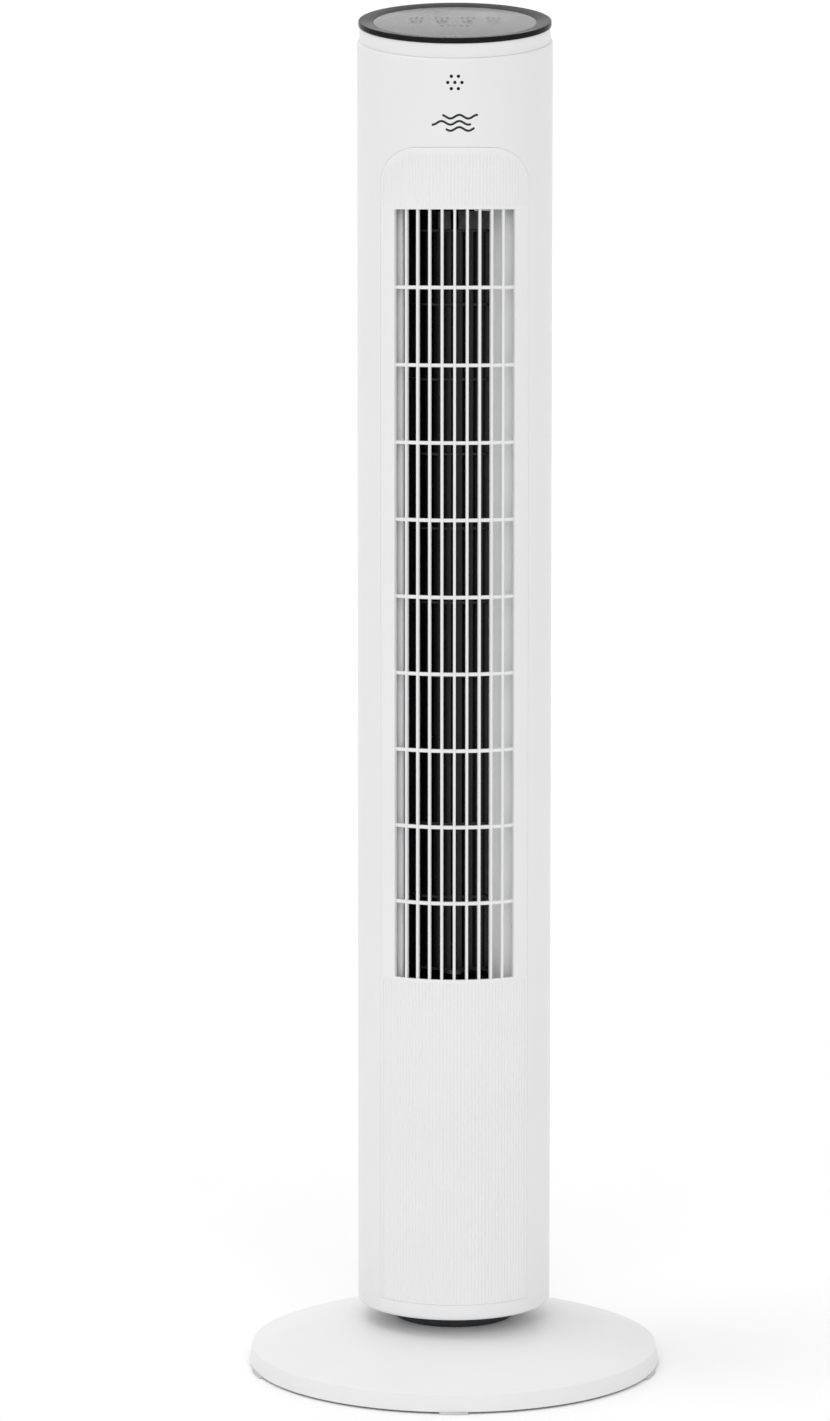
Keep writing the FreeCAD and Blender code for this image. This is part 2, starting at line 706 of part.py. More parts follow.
def make_motor_mounts():
    mounts = [polar("mount_place", angle) for angle in MOUNT_ANGLES]
    rubbers = [tube("screw_radius + fit_gap", "5", "0", "rubber_height - 2 * fit_gap") for _ in mounts]
    for rubber, (x, y) in zip(rubbers, mounts):
        rubber.translate(FreeCAD.Vector(value(x), value(y), value("motor_top + fit_gap")))
    shaped("motor_rubbers", Part.makeCompound(rubbers))
    tip = "motor_top + rubber_height + 10"
    screws = [screw("screw_radius", "motor_top - 3.1", tip, x, y) for x, y in mounts]
    shaped("motor_screws", Part.makeCompound(screws))
    plate = turned("lower_duct_plate", [
        ("hub_radius + 2", "lower_plate"), ("fitted_radius", "lower_plate"),
        ("fitted_radius", "duct_bottom"), ("hub_radius + 2", "duct_bottom")])
    padded(plate, "lower_plate - mount_post", "mount_post + 1", [(x, y, "4") for x, y in mounts])
    lugs = circle_row("lug_place", LUG_ANGLES, "lug_radius")
    padded(plate, "lower_plate - 10", "11", lugs)
    drilled(plate, "lower_plate - mount_post + 12", "13",
            [(x, y, "screw_radius + fit_gap / 4") for x, y in mounts])
    drilled(plate, "duct_bottom", "4", lead_hole())


def blade_face():
    """The section of one blade: a thin arc, radial at the inner circle and leaning at the outer one."""
    outer = value("wheel_radius") - 0.15
    inner = value("wheel_radius - blade_depth") + 0.3
    lean, bow = value("blade_lean"), value("blade_bow")
    thick = value("blade_thickness") / 2

    def arc(shift):
        tip = lean + shift
        points = [FreeCAD.Vector(inner, shift, 0),
                  FreeCAD.Vector((inner + outer) / 2, bow + shift, 0),
                  FreeCAD.Vector(math.sqrt(outer ** 2 - tip ** 2), tip, 0)]
        return Part.Arc(*points).toShape()

    first, second = arc(-thick), arc(thick)
    ends = [Part.makeLine(first.Vertexes[index].Point, second.Vertexes[index].Point) for index in (0, 1)]
    return Part.Face(Part.Wire(Part.__sortEdges__([first, second] + ends)))


def make_wheel():
    """A cross-flow wheel: blades round the edge, thin rings between stages and a disc at each end."""
    low, high = value("wheel_bottom"), value("wheel_top")
    disc = value("disc_thickness")
    stages = int(value("stage_count"))
    blade = blade_face()
    blade.translate(UP * (low + disc / 2))
    blade = blade.extrude(UP * (high - low - disc))
    count = int(value("blade_count"))
    blades = []
    for number in range(count):
        copy = blade.copy()
        copy.rotate(ORIGIN, UP, number * 360 / count)
        blades.append(copy)
    rings = []
    for stage in range(1, stages):
        middle = low + (high - low) * stage / stages
        bottom, top = str(middle - disc / 2), str(middle + disc / 2)
        rings.append(tube("wheel_radius - blade_depth", "wheel_radius", bottom, top))
    bottom = tube("hub_radius + fit_gap", "wheel_radius", "wheel_bottom", "wheel_bottom + disc_thickness")
    collar = tube("hub_radius + fit_gap", "hub_radius + 3", "wheel_bottom", "wheel_bottom + 10")
    top = tube("pin_radius + 0.02", "wheel_radius", "wheel_top - disc_thickness", "wheel_top")
    boss = tube("pin_radius + 0.02", "pin_radius + 5", "wheel_top - 12", "wheel_top")
    wheel = bottom.multiFuse([collar, top, boss] + rings + blades)
    shaped("wheel", wheel)


def make_wheel_hub():
    low, high = "wheel_bottom - 6.5", "wheel_bottom + 9"
    hub = tube("shaft_radius + 0.02", "hub_radius", low, high)
    middle = FreeCAD.Vector(0, 0, value("wheel_bottom - 3.2"))
    along = FreeCAD.Vector(1, 0, 0)
    radius, reach = 2, value("hub_radius")
    hub = hub.cut(Part.makeCylinder(radius + 0.05, reach + 1, middle, along))
    shaped("wheel_hub", hub)
    start = value("shaft_radius") + 0.1
    shaped("hub_screw", Part.makeCylinder(radius, reach - start - 0.4, middle + along * start, along))
    turned("top_pin", [("0", "wheel_top - 11"), ("pin_radius", "wheel_top - 11"),
                       ("pin_radius", "duct_top + 4"), ("0", "duct_top + 4")])


def make_top_bearing():
    ring("top_bush", "pin_radius + running_gap", "pin_radius + 3.4", "duct_top - 2", "duct_top + 5")
    turned("bush_rubber", [
        ("pin_radius + 3.4 + fit_gap", "duct_top - 2.5"), ("pin_radius + 9", "duct_top - 2.5"),
        ("pin_radius + 9", "duct_top - fit_gap"), ("pin_radius + 6.5", "duct_top - fit_gap"),
        ("pin_radius + 6.5", "duct_top + plate_thickness + fit_gap"),
        ("pin_radius + 9", "duct_top + plate_thickness + fit_gap"),
        ("pin_radius + 9", "duct_top + plate_thickness + 2.5"),
        ("pin_radius + 3.4 + fit_gap", "duct_top + plate_thickness + 2.5")])
    plate = turned("upper_duct_plate", [
        ("pin_radius + 6.7", "duct_top"), ("fitted_radius", "duct_top"),
        ("fitted_radius", "duct_top + plate_thickness"), ("pin_radius + 6.7", "duct_top + plate_thickness")])
    lugs = circle_row("lug_place", LUG_ANGLES, "lug_radius")
    padded(plate, "duct_top + 2", "plate_thickness + 8", lugs)
    drilled(plate, "duct_top + plate_thickness", "4", lead_hole())


# ---- air path ----

def scroll_point(angle, shift):
    """A point of the scroll at an angle from the back towards the left; it opens out as it goes."""
    share = (angle - value("scroll_start")) / value("scroll_end - scroll_start")
    radius = value("wheel_radius") + value("scroll_room") * (0.16 + 0.54 * share) + shift
    return FreeCAD.Vector(-radius * math.sin(math.radians(angle)), radius * math.cos(math.radians(angle)), 0)


def make_scroll():
    steps = 6
    sweep = value("scroll_end - scroll_start")
    angles = [value("scroll_start") + sweep * step / steps for step in range(steps + 1)]
    sides = []
    for shift in (0, value("duct_wall")):
        curve = Part.BSplineCurve()
        curve.interpolate([scroll_point(angle, shift) for angle in angles])
        sides.append(curve.toShape())
    ends = [Part.makeLine(sides[0].Vertexes[index].Point, sides[1].Vertexes[index].Point) for index in (0, 1)]
    face = Part.Face(Part.Wire(Part.__sortEdges__(sides + ends)))
    face.translate(UP * value("duct_bottom + fit_gap"))
    shaped("scroll_wall", face.extrude(UP * value("duct_top - duct_bottom - 2 * fit_gap")))


def guide_point(radius, angle):
    """A point of the air path at a radius, with the angle from the front towards the right."""
    return radius * math.sin(math.radians(angle)), -radius * math.cos(math.radians(angle))


def make_air_guides():
    """The two pale walls that lead the air from the wheel to the outlet's sides."""
    low, high = "duct_bottom + fit_gap", "duct_top - fit_gap"
    outer = value("inner_radius - bar_depth") - 1.2
    wheel = value("wheel_radius")
    left = [guide_point(value("wheel_radius + 0.72 * scroll_room"), -50.5),
            guide_point(outer - 1.2, -43),
            guide_point(outer - 1.4, -36.2)]
    right = [guide_point(wheel + 2.6, 33.2),
             guide_point((wheel + outer) / 2 + 2.6, 35.7),
             guide_point(outer + 0.6, 42.4)]
    shaped("left_air_guide", strip(left, "duct_wall", low, high))
    shaped("right_air_guide", strip(right, "0 - duct_wall", low, high))


# ---- shell and grilles ----

def tower_wall():
    """The round wall, rounded at its foot and at its slanted shoulder."""
    wall = tube("inner_radius", "tower_radius", "tower_bottom", "seam + tower_radius")
    wall = wall.cut(slant_slab("seam", "seam + 3 * tower_radius"))
    for radius, above in ((value("tower_edge_round"), False), (value("shoulder_round"), True)):
        rims = [edge for edge in wall.Edges
                if abs(edge.BoundBox.XLength - 2 * value("tower_radius")) < 0.01
                and (edge.BoundBox.ZMin > value("panel_top")) == above]
        wall = wall.makeFillet(radius, rims)
    return wall


def vent_pattern():
    """Seven small round holes: one in the middle and six round it."""
    places = [(0, 0)]
    for number in range(6):
        angle = math.radians(60 * number)
        places.append((value("vent_spacing") * math.cos(angle), value("vent_spacing") * math.sin(angle)))
    height = value("vent_height")
    reach = value("tower_radius") + 5
    return [Part.makeCylinder(value("vent_hole_radius"), 12, FreeCAD.Vector(x, 12 - reach, height + z),
                              FreeCAD.Vector(0, -1, 0)) for x, z in places]


def radial_peg(radius, start, end, height, angle):
    """A cylinder that points straight out from the axis at a height and an angle from +X."""
    along = FreeCAD.Vector(math.cos(math.radians(angle)), math.sin(math.radians(angle)), 0)
    return Part.makeCylinder(radius, end - start, along * start + UP * value(height), along)


def make_tower_shell():
    wall = tower_wall()
    wall = wall.cut(front_prism("panel_width", "panel_bottom", "panel_top", value("panel_corner")))
    wall = wall.cut(intake_sector(value("inner_radius") - 1, value("tower_radius") + 1, 0))
    outer = value("tower_radius")
    for height in PLATE_SCREW_HEIGHTS.values():
        for angle in LUG_ANGLES:
            hole = radial_peg(value("screw_radius + fit_gap"), outer - 6, outer + 1, height, angle)
            recess = radial_peg(value("shell_screw_head") + 0.3, outer - 1.1, outer + 1, height, angle)
            wall = wall.cut(hole).cut(recess)
    shaped("tower_shell", wall.cut(Part.makeCompound(vent_pattern())))


def make_shell_screws():
    """The screws that hold the shell to the plates, one in each lug."""
    outer = value("tower_radius")
    screws = []
    for height in PLATE_SCREW_HEIGHTS.values():
        for angle in LUG_ANGLES:
            shank = radial_peg(value("screw_radius") - 0.3, outer - 9, outer - 1, height, angle)
            head = radial_peg(value("shell_screw_head"), outer - 1, outer - 0.2, height, angle)
            screws.append(shank.fuse(head))
    shaped("shell_screws", Part.makeCompound(screws))


def intake_sector(inner, outer, margin):
    """The curved window at the back that the intake grille fills, less a margin all round."""
    start = 90 - value("intake_turn") - value("column_count * column_angle") / 2
    turn = math.degrees(margin / outer)
    low, high = value("intake_bottom"), value("intake_top + slot_rib")
    return wall_sector(inner, outer, start + turn, value("column_count * column_angle") - 2 * turn,
                       low + margin, high - low - 2 * margin)


def make_rear_grille():
    """Stacked intake slots in columns, with a plain border."""
    border = value("column_rib")
    inner, outer = value("inner_radius"), value("tower_radius")
    panel = intake_sector(inner, outer, value("fit_gap"))
    pitch = value("slot_height + slot_rib")
    low, high = value("intake_bottom") + border, value("intake_top")
    rows = int((high - low + value("slot_rib")) / pitch)
    start = 90 - value("intake_turn") - value("column_count * column_angle") / 2
    rib_turn = math.degrees(border / outer)
    cuts = []
    for column in range(int(value("column_count"))):
        column_start = start + column * value("column_angle") + rib_turn / 2
        sweep = value("column_angle") - rib_turn
        slot = value("slot_height")
        cut = wall_sector(inner - 1, outer + 1, column_start, sweep, high - slot, slot)
        for row in range(rows):
            copy = cut.copy()
            copy.translate(UP * (-row * pitch))
            cuts.append(copy)
    shaped("rear_grille", panel.cut(Part.makeCompound(cuts)))


def make_front_grille():
    """The inset front panel: fine upright ribs above and below the outlet, and bars across it."""
    gap, outer = value("panel_gap"), value("tower_radius")
    low, high = value("panel_bottom") + gap, value("panel_top") - gap
    panel = tube("inner_radius", "tower_radius", str(low - 1), str(high + 1))
    face = front_prism("panel_width - 2 * panel_gap", str(low), str(high), value("panel_corner") - gap)
    panel = panel.common(face)
    outlet_low, outlet_high = value("outlet_bottom"), value("outlet_top")
    panel = panel.cut(front_prism("outlet_width", "outlet_bottom", "outlet_top", 0))
    tool = value("rib_tool_radius")
    ribs = int(math.degrees(value("panel_width / 2 / tower_radius")) / value("rib_angle"))
    cuts = []
    for number in range(-ribs, ribs + 1):
        angle = number * value("rib_angle")
        x, y = guide_point(outer + tool - value("rib_depth"), angle)
        drop = panel_corner_drop(abs(guide_point(outer, angle)[0]))
        top = high - value("rib_margin") - drop
        cuts.append(Part.makeCylinder(tool, outlet_low - low - 2, FreeCAD.Vector(x, y, low + 0.6)))
        cuts.append(Part.makeCylinder(tool, top - outlet_high - 2, FreeCAD.Vector(x, y, outlet_high + 2)))
    panel = panel.cut(Part.makeCompound(cuts))
    shaped("front_grille", panel.fuse(outlet_bars()).removeSplitter())


def panel_corner_drop(x):
    """How far the panel's rounded top corner falls below its top edge at a distance from the middle."""
    corner = value("panel_corner")
    over = x - (value("panel_width") / 2 - corner)
    if over <= 0:
        return 0
    return corner - math.sqrt(max(corner ** 2 - over ** 2, 0))


def outlet_bars():
    """Uprights and crossbars that meet at their backs, let into the outlet's edges."""
    outer = value("tower_radius - bar_setback")
    inner = outer - value("bar_depth")
    low, high = value("outlet_bottom"), value("outlet_top")
    half_turn = math.degrees(math.asin(value("outlet_width / 2 + 0.5") / value("inner_radius")))
    count = int(value("upright_count"))
    uprights = []
    for number in range(count):
        angle = (number - (count - 1) / 2) * value("upright_angle")
        bar = Part.makeBox(value("upright_width"), value("bar_depth"), high - low + 1,
                           FreeCAD.Vector(-value("upright_width") / 2, -outer, low - 0.5))
        bar.rotate(ORIGIN, UP, angle)
        uprights.append(bar)
    crossbars = []
    for number in range(int(value("crossbar_count"))):
        middle = low + (high - low) * (number + 1) / (value("crossbar_count") + 1)
        thick = value("crossbar_height")
        crossbars.append(wall_sector(inner - 0.6, outer - 0.6, -90 - half_turn, 2 * half_turn,
                                     middle - thick / 2, thick))
    return uprights[0].multiFuse(uprights[1:] + crossbars)


# ---- control head ----

def make_collar():
    skin = slanted("collar_radius - 4.2", "collar_radius", "seam", "rim_bottom")
    spigot = slanted("collar_radius - 4.2", "fitted_radius", "seam - 6", "seam")
    shaped("top_collar", skin.fuse(spigot).removeSplitter())


def make_bezel():
    """The dark rim: a shallow dish round the touch panel, on a ring that plugs into the collar."""
    plug = slanted("lens_radius - ledge_width", "collar_radius - 4.4", "ledge_bottom", "rim_bottom")
    rim = slanted("lens_radius - ledge_width", "rim_radius", "rim_bottom", "rim_top")
    bezel = plug.fuse(rim)
    bezel = bezel.cut(slanted("0", "lens_radius + 0.1", "lens_bottom - 0.1", "rim_top + 5"))
    mouth = [slant_ring("rim_radius - 0.5", "rim_top + 0.01"), slant_ring("lens_radius - 0.5", "lens_top")]
    bezel = bezel.cut(Part.makeLoft(mouth, True, True))
    shaped("control_bezel", bezel)


def slant_ring(radius, height):
    """The closed curve where an upright cylinder meets a slanted plane."""
    slope = math.radians(value("top_slant"))
    reach = value(radius)
    centre = FreeCAD.Vector(0, 0, value(height))
    along = FreeCAD.Vector(0, math.cos(slope), math.sin(slope))
    far, near = centre + along * (reach / math.cos(slope)), centre + FreeCAD.Vector(reach, 0, 0)
    ellipse = Part.Ellipse(far, near, centre)
    return Part.Wire([ellipse.toShape()])


def slanted_block(width, depth, bottom, top, x, y):
    low, high = value(bottom) - 60, value(top) + 60
    box = Part.makeBox(width, depth, high - low, FreeCAD.Vector(x - width / 2, y - depth / 2, low))
    return box.common(slant_slab(bottom, top))


def make_control_board():
    shaped("touch_panel", slanted("0", "lens_radius", "lens_bottom", "lens_top"))
    shaped("control_board", slanted("0", "collar_radius - 6", "board_top - board_thickness", "board_top"))
    low, high = "board_top + 0.05", "lens_bottom - 0.15"
    keys = [(-24, 8), (-12, 8), (12, 8), (24, 8), (0, -16)]
    springs = [slanted("1.9", "3", low, high, str(x), str(y)) for x, y in keys]
    shaped("touch_springs", Part.makeCompound(springs))
    shaped("display_module", slanted_block(16, 12, low, high, 0, 10))
    shaped("infrared_receiver", slanted_block(5, 4, low, "board_top + 4.5", 18, -24))


def make_head_screws():
    screws = []
    seat = "board_top - board_thickness - 0.05"
    for angle in QUARTER_ANGLES:
        x, y = polar("head_screw_place", angle)
        head = slanted("0", "2.4", seat + " - 1.55", seat, x, y)
        shank = slanted("0", "1.1", seat, "ledge_bottom + 4", x, y)
        screws.append(head.fuse(shank))
    shaped("head_screws", Part.makeCompound(screws))
    for name in ("control_board", "control_bezel"):
        item = pieces[name]
        places = [polar("head_screw_place", angle) for angle in QUARTER_ANGLES]
        holes = [slanted("0", "1.15", "board_top - 4", "ledge_bottom + 4.2", x, y) for x, y in places]
        item.Shape = item.Shape.cut(Part.makeCompound(holes))


def make_beeper():
    """The sounder behind the seven small holes."""
    place = FreeCAD.Vector(0, -value("inner_radius") + 1.2, value("vent_height"))
    shaped("beeper", Part.makeCylinder(6.5, 8, place, FreeCAD.Vector(0, 1, 0)))


def pierce_lugs():
    """Pilot holes for the shell's screws, cut last into the plates' lugs."""
    outer = value("tower_radius")
    radius = value("screw_radius") - 0.25
    for name, height in PLATE_SCREW_HEIGHTS.items():
        plate = pieces.pop(name)
        document.recompute()
        holes = [radial_peg(radius, outer - 9.5, outer, height, angle) for angle in LUG_ANGLES]
        shape = plate.Shape.cut(Part.makeCompound(holes))
        plate.Label = name + "_blank"
        shaped(name, shape)


def check_pieces():
    document.recompute()
    for item in document.Objects:
        state = " ".join(item.State)
        assert "Invalid" not in state and "Error" not in state, item.Label
    for label, item in pieces.items():
        assert not item.Shape.isNull() and item.Shape.isValid(), label
        assert item.Shape.Volume > 0, label


def write_pieces():
    os.makedirs("parts", exist_ok=True)
    for label, item in pieces.items():
        item.Shape.exportStep(f"parts/{label}.step")


fill_sheet()
make_base_shell()
make_cord_gland()
make_base_floor()
make_rubber_feet()
make_neck()
make_pivot()
make_base_screws()
make_gears()
make_swing_motor()
make_tower_floor()
make_tray()
make_lead()
make_motor_caps()
make_stator()
make_rotor()
make_motor_mounts()
make_wheel()
make_wheel_hub()
make_top_bearing()
make_scroll()
make_air_guides()
make_tower_shell()
make_shell_screws()
make_rear_grille()
make_front_grille()
make_collar()
make_bezel()
make_control_board()
make_head_screws()
make_beeper()
pierce_lugs()
check_pieces()
write_pieces()
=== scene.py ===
import json
import math

import bmesh
import bpy
from mathutils import Matrix, Vector


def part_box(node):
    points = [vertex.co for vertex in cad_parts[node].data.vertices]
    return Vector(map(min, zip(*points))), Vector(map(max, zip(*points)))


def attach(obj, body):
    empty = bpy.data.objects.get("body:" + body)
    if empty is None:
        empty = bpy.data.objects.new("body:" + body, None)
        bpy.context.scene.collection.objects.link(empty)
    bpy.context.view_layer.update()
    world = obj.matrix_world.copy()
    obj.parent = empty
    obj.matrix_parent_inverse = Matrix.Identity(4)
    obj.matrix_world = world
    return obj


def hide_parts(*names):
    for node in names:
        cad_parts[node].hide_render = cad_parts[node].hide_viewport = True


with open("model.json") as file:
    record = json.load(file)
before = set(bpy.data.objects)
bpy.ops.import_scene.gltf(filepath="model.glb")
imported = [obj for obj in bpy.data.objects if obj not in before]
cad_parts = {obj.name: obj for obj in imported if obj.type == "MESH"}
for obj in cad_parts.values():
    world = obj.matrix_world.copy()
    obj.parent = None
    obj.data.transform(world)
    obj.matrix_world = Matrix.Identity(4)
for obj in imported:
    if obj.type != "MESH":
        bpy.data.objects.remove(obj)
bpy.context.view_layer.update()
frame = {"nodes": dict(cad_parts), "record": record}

MM = 0.001


# ---- places, read from the frame ----

def low(node):
    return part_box(node)[0]


def high(node):
    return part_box(node)[1]


SLANT = math.tan(math.radians(12.6))
WALL = 2.2 * MM
COLLAR_WALL = 4.2 * MM
SPIGOT_DEPTH = 6 * MM
TOWER_RADIUS = high("tower_shell").x
TOWER_BOTTOM = low("tower_shell").z
TOWER_FOOT = 2 * MM
FOOT_STEPS = 6
INNER_RADIUS = TOWER_RADIUS - WALL
COLLAR_RADIUS = high("top_collar").x
COLLAR_HEIGHT = 8.2 * MM
RIM_BOTTOM = high("top_collar").z - SLANT * COLLAR_RADIUS
SEAM = RIM_BOTTOM - COLLAR_HEIGHT
RIM_RADIUS = high("control_bezel").x
RIM_TOP = RIM_BOTTOM + 3.1 * MM
LENS_RADIUS = high("touch_panel").x
LENS_TOP = RIM_TOP - 1.2 * MM
LENS_BOTTOM = LENS_TOP - 1.8 * MM
PANEL_GAP = 0.12 * MM
PANEL_HALF = high("front_grille").x + 0.23 * MM
PANEL_BOTTOM = low("front_grille").z - 0.23 * MM
PANEL_TOP = high("front_grille").z + 0.23 * MM
PANEL_CORNER = 19.88 * MM
RIB_DEPTH = 0.42 * MM
RIB_PITCH = 2.12
OUTLET_HALF = 33.95 * MM
OUTLET_BOTTOM = high("lower_duct_plate").z + 6.8 * MM
OUTLET_TOP = low("upper_duct_plate").z - 1.4 * MM
UPRIGHT_SPACING = 7.5
INTAKE_BOTTOM = low("rear_grille").z
INTAKE_TOP = high("rear_grille").z
INTAKE_START = 180 - 4.2 - 63
INTAKE_SPAN = 126
INTAKE_GAP = 0.2 * MM
INTAKE_BORDER = 2.6 * MM
REAR_SCREW_HEAD = 3.1 * MM
REAR_SCREW_ANGLES = (60, 120)
BASE_RADIUS = high("base_shell").x
BASE_EDGE = BASE_RADIUS - 1.4 * MM
BASE_EDGE_HEIGHT = low("base_shell").z + 9.7 * MM
BASE_TOP = high("base_shell").z
BASE_WALL = 2.6 * MM
FOOT_HEIGHT = low("base_shell").z
NECK_RADIUS = high("neck").x
NECK_TOP = high("neck").z
NECK_BOTTOM = low("neck").z
PRINT_LIFT = 0.02 * MM
FLOOR = low("rubber_feet").z


# ---- mesh building ----

def front_point(radius, angle, height):
    """A point on a round wall; the angle runs from the front towards the right."""
    return Vector((radius * math.sin(angle), -radius * math.cos(angle), height))


def rounded(corners, steps=4):
    """An outline with each corner (x, y, radius) rounded by an arc."""
    outline = []
    count = len(corners)
    for index, (x, y, radius) in enumerate(corners):
        here = Vector((x, y))
        if radius <= 0:
            outline.append((x, y))
            continue
        before = (Vector(corners[index - 1][:2]) - here).normalized()
        after = (Vector(corners[(index + 1) % count][:2]) - here).normalized()
        half = before.angle(after) / 2
        reach = radius / math.tan(half)
        centre = here + (before + after).normalized() * (radius / math.sin(half))
        start = here + before * reach - centre
        turn = start.angle_signed(here + after * reach - centre)
        for step in range(steps + 1):
            point = centre + Matrix.Rotation(-turn * step / steps, 2) @ start
            outline.append((point.x, point.y))
    return outline


def lathe(bm, outline, segments, slant=0.0):
    """Turns a closed outline of (radius, height) about Z; slant tips its heights up towards the back."""
    rings = []
    for number in range(segments):
        angle = 2 * math.pi * number / segments
        across, along = math.cos(angle), math.sin(angle)
        rings.append([bm.verts.new((r * across, r * along, z + slant * r * along)) for r, z in outline])
    count = len(outline)
    for ring, following in zip(rings, rings[1:] + rings[:1]):
        for index in range(count):
            after = (index + 1) % count
            bm.faces.new((ring[index], following[index], following[after], ring[after]))
    bmesh.ops.remove_doubles(bm, verts=bm.verts, dist=1e-7)
    bmesh.ops.dissolve_degenerate(bm, dist=1e-7, edges=bm.edges)


def sweep(bm, sections, closed=False):
    """Joins sections of equal point counts into a tube, capped at its ends unless it is closed."""
    rings = [[bm.verts.new(point) for point in section] for section in sections]
    pairs = list(zip(rings, rings[1:])) + ([(rings[-1], rings[0])] if closed else [])
    count = len(rings[0])
    for ring, following in pairs:
        for index in range(count):
            after = (index + 1) % count
            bm.faces.new((ring[index], ring[after], following[after], following[index]))
    if not closed:
        bm.faces.new(list(reversed(rings[0])))
        bm.faces.new(rings[-1])


def arc_bar(bm, inner, outer, bottom, top, start, end, round_by, step=math.radians(2)):
    """A bar with a rounded section that follows a round wall between two angles."""
    section = rounded([(inner, bottom, round_by), (outer, bottom, round_by),
                       (outer, top, round_by), (inner, top, round_by)], 2)
    count = max(2, math.ceil((end - start) / step))
    sections = []
    for number in range(count + 1):
        angle = start + (end - start) * number / count
        sections.append([front_point(radius, angle, height) for radius, height in section])
    sweep(bm, sections)


def upright_bar(bm, width, inner, outer, bottom, top, angle, round_by, front_round):
    """A straight bar with a rounded section that stands on a round wall."""
    half = width / 2
    section = rounded([(-half, inner, round_by), (half, inner, round_by),
                       (half, outer, front_round), (-half, outer, front_round)], 3)
    turn = Matrix.Rotation(angle, 3, "Z")
    sections = []
    for height in (bottom, top):
        sections.append([turn @ Vector((x, -radius, height)) for x, radius in section])
    sweep(bm, sections)


def thicken(bm, inner_radius):
    """Gives an open round skin its inner face at one radius, and joins the two round every edge."""
    faces = list(bm.faces)
    boundary = [edge for edge in bm.edges if len(edge.link_faces) == 1]
    twin = {}
    for vert in list(bm.verts):
        flat = Vector((vert.co.x, vert.co.y, 0)).normalized() * inner_radius
        twin[vert] = bm.verts.new((flat.x, flat.y, vert.co.z))
    for face in faces:
        bm.faces.new([twin[vert] for vert in reversed(face.verts)])
    for edge in boundary:
        face = edge.link_faces[0]
        first, second = edge.verts
        loop = next(item for item in face.loops if item.edge == edge)
        if loop.vert != first:
            first, second = second, first
        bm.faces.new((second, first, twin[first], twin[second]))


def drop_loose(bm):
    """Deletes the points that no face uses."""
    loose = [vert for vert in bm.verts if not vert.link_faces]
    bmesh.ops.delete(bm, geom=loose, context="VERTS")


def shade(mesh, sharp_degrees):
    """Smooth shading, with edges sharper than an angle kept hard."""
    for polygon in mesh.polygons:
        polygon.use_smooth = True
    mesh.set_sharp_from_angle(angle=math.radians(sharp_degrees))


def bake_modifiers(piece):
    """Replaces a piece's mesh by what its modifiers make of it."""
    bpy.context.view_layer.update()
    graph = bpy.context.evaluated_depsgraph_get()
    mesh = bpy.data.meshes.new_from_object(piece.evaluated_get(graph))
    piece.modifiers.clear()
    piece.data = mesh
    mesh.name = piece.name


def soften(piece, width, segments=2, degrees=50):
    """Rounds every edge that turns by more than an angle."""
    bevel = piece.modifiers.new("soften", "BEVEL")
    bevel.width = width
    bevel.segments = segments
    bevel.limit_method = "ANGLE"
    bevel.angle_limit = math.radians(degrees)
    bevel.use_clamp_overlap = True
    bake_modifiers(piece)


def make_piece(name, bm, material, body, replaces=(), edge=0, sharp=40):
    """A named mesh that rides on a body, with one material and its hard edges softened."""
    bmesh.ops.recalc_face_normals(bm, faces=bm.faces)
    mesh = bpy.data.meshes.new(name)
    bm.to_mesh(mesh)
    bm.free()
    piece = bpy.data.objects.new(name, mesh)
    bpy.context.scene.collection.objects.link(piece)
    if edge:
        soften(piece, edge)
    piece.data.materials.clear()
    piece.data.materials.append(material)
    shade(piece.data, sharp)
    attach(piece, body)
    if replaces:
        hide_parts(*replaces)
    return piece


# ---- materials ----

def shader(name):
    """A new node material: its tree, its main shader and its metre-scale coordinates."""
    material = bpy.data.materials.new(name)
    material.use_nodes = True
    nodes = material.node_tree.nodes
    bsdf = nodes["Principled BSDF"]
    place = nodes.new("ShaderNodeTexCoord")
    return material, bsdf, place.outputs["Object"]


def stretched(tree, place, scale):
    mapping = tree.nodes.new("ShaderNodeMapping")
    mapping.inputs["Scale"].default_value = scale
    tree.links.new(place, mapping.inputs["Vector"])
    return mapping.outputs["Vector"]


def noise(tree, place, scale, detail=2.0, rough=0.5):
    node = tree.nodes.new("ShaderNodeTexNoise")
    node.inputs["Scale"].default_value = scale
    node.inputs["Detail"].default_value = detail
    node.inputs["Roughness"].default_value = rough
    tree.links.new(place, node.inputs["Vector"])
    return node.outputs["Fac"]


def ranged(tree, factor, start, end, from_low=0.3, from_high=0.7):
    node = tree.nodes.new("ShaderNodeMapRange")
    node.inputs["From Min"].default_value = from_low
    node.inputs["From Max"].default_value = from_high
    node.inputs["To Min"].default_value = start
    node.inputs["To Max"].default_value = end
    tree.links.new(factor, node.inputs["Value"])
    return node.outputs["Result"]


def ramp(tree, factor, colours, places=None):
    node = tree.nodes.new("ShaderNodeValToRGB")
    places = places or [0.3 + 0.4 * index / (len(colours) - 1) for index in range(len(colours))]
    while len(node.color_ramp.elements) < len(colours):
        node.color_ramp.elements.new(0.5)
    for element, position, colour in zip(node.color_ramp.elements, places, colours):
        element.position = position
        element.color = (*colour, 1)
    tree.links.new(factor, node.inputs["Fac"])
    return node.outputs["Color"]


def bump(tree, bsdf, height, strength, distance, under=None):
    node = tree.nodes.new("ShaderNodeBump")
    node.inputs["Strength"].default_value = strength
    node.inputs["Distance"].default_value = distance
    tree.links.new(height, node.inputs["Height"])
    if under is not None:
        tree.links.new(under, node.inputs["Normal"])
    tree.links.new(node.outputs["Normal"], bsdf.inputs["Normal"])
    return node.outputs["Normal"]


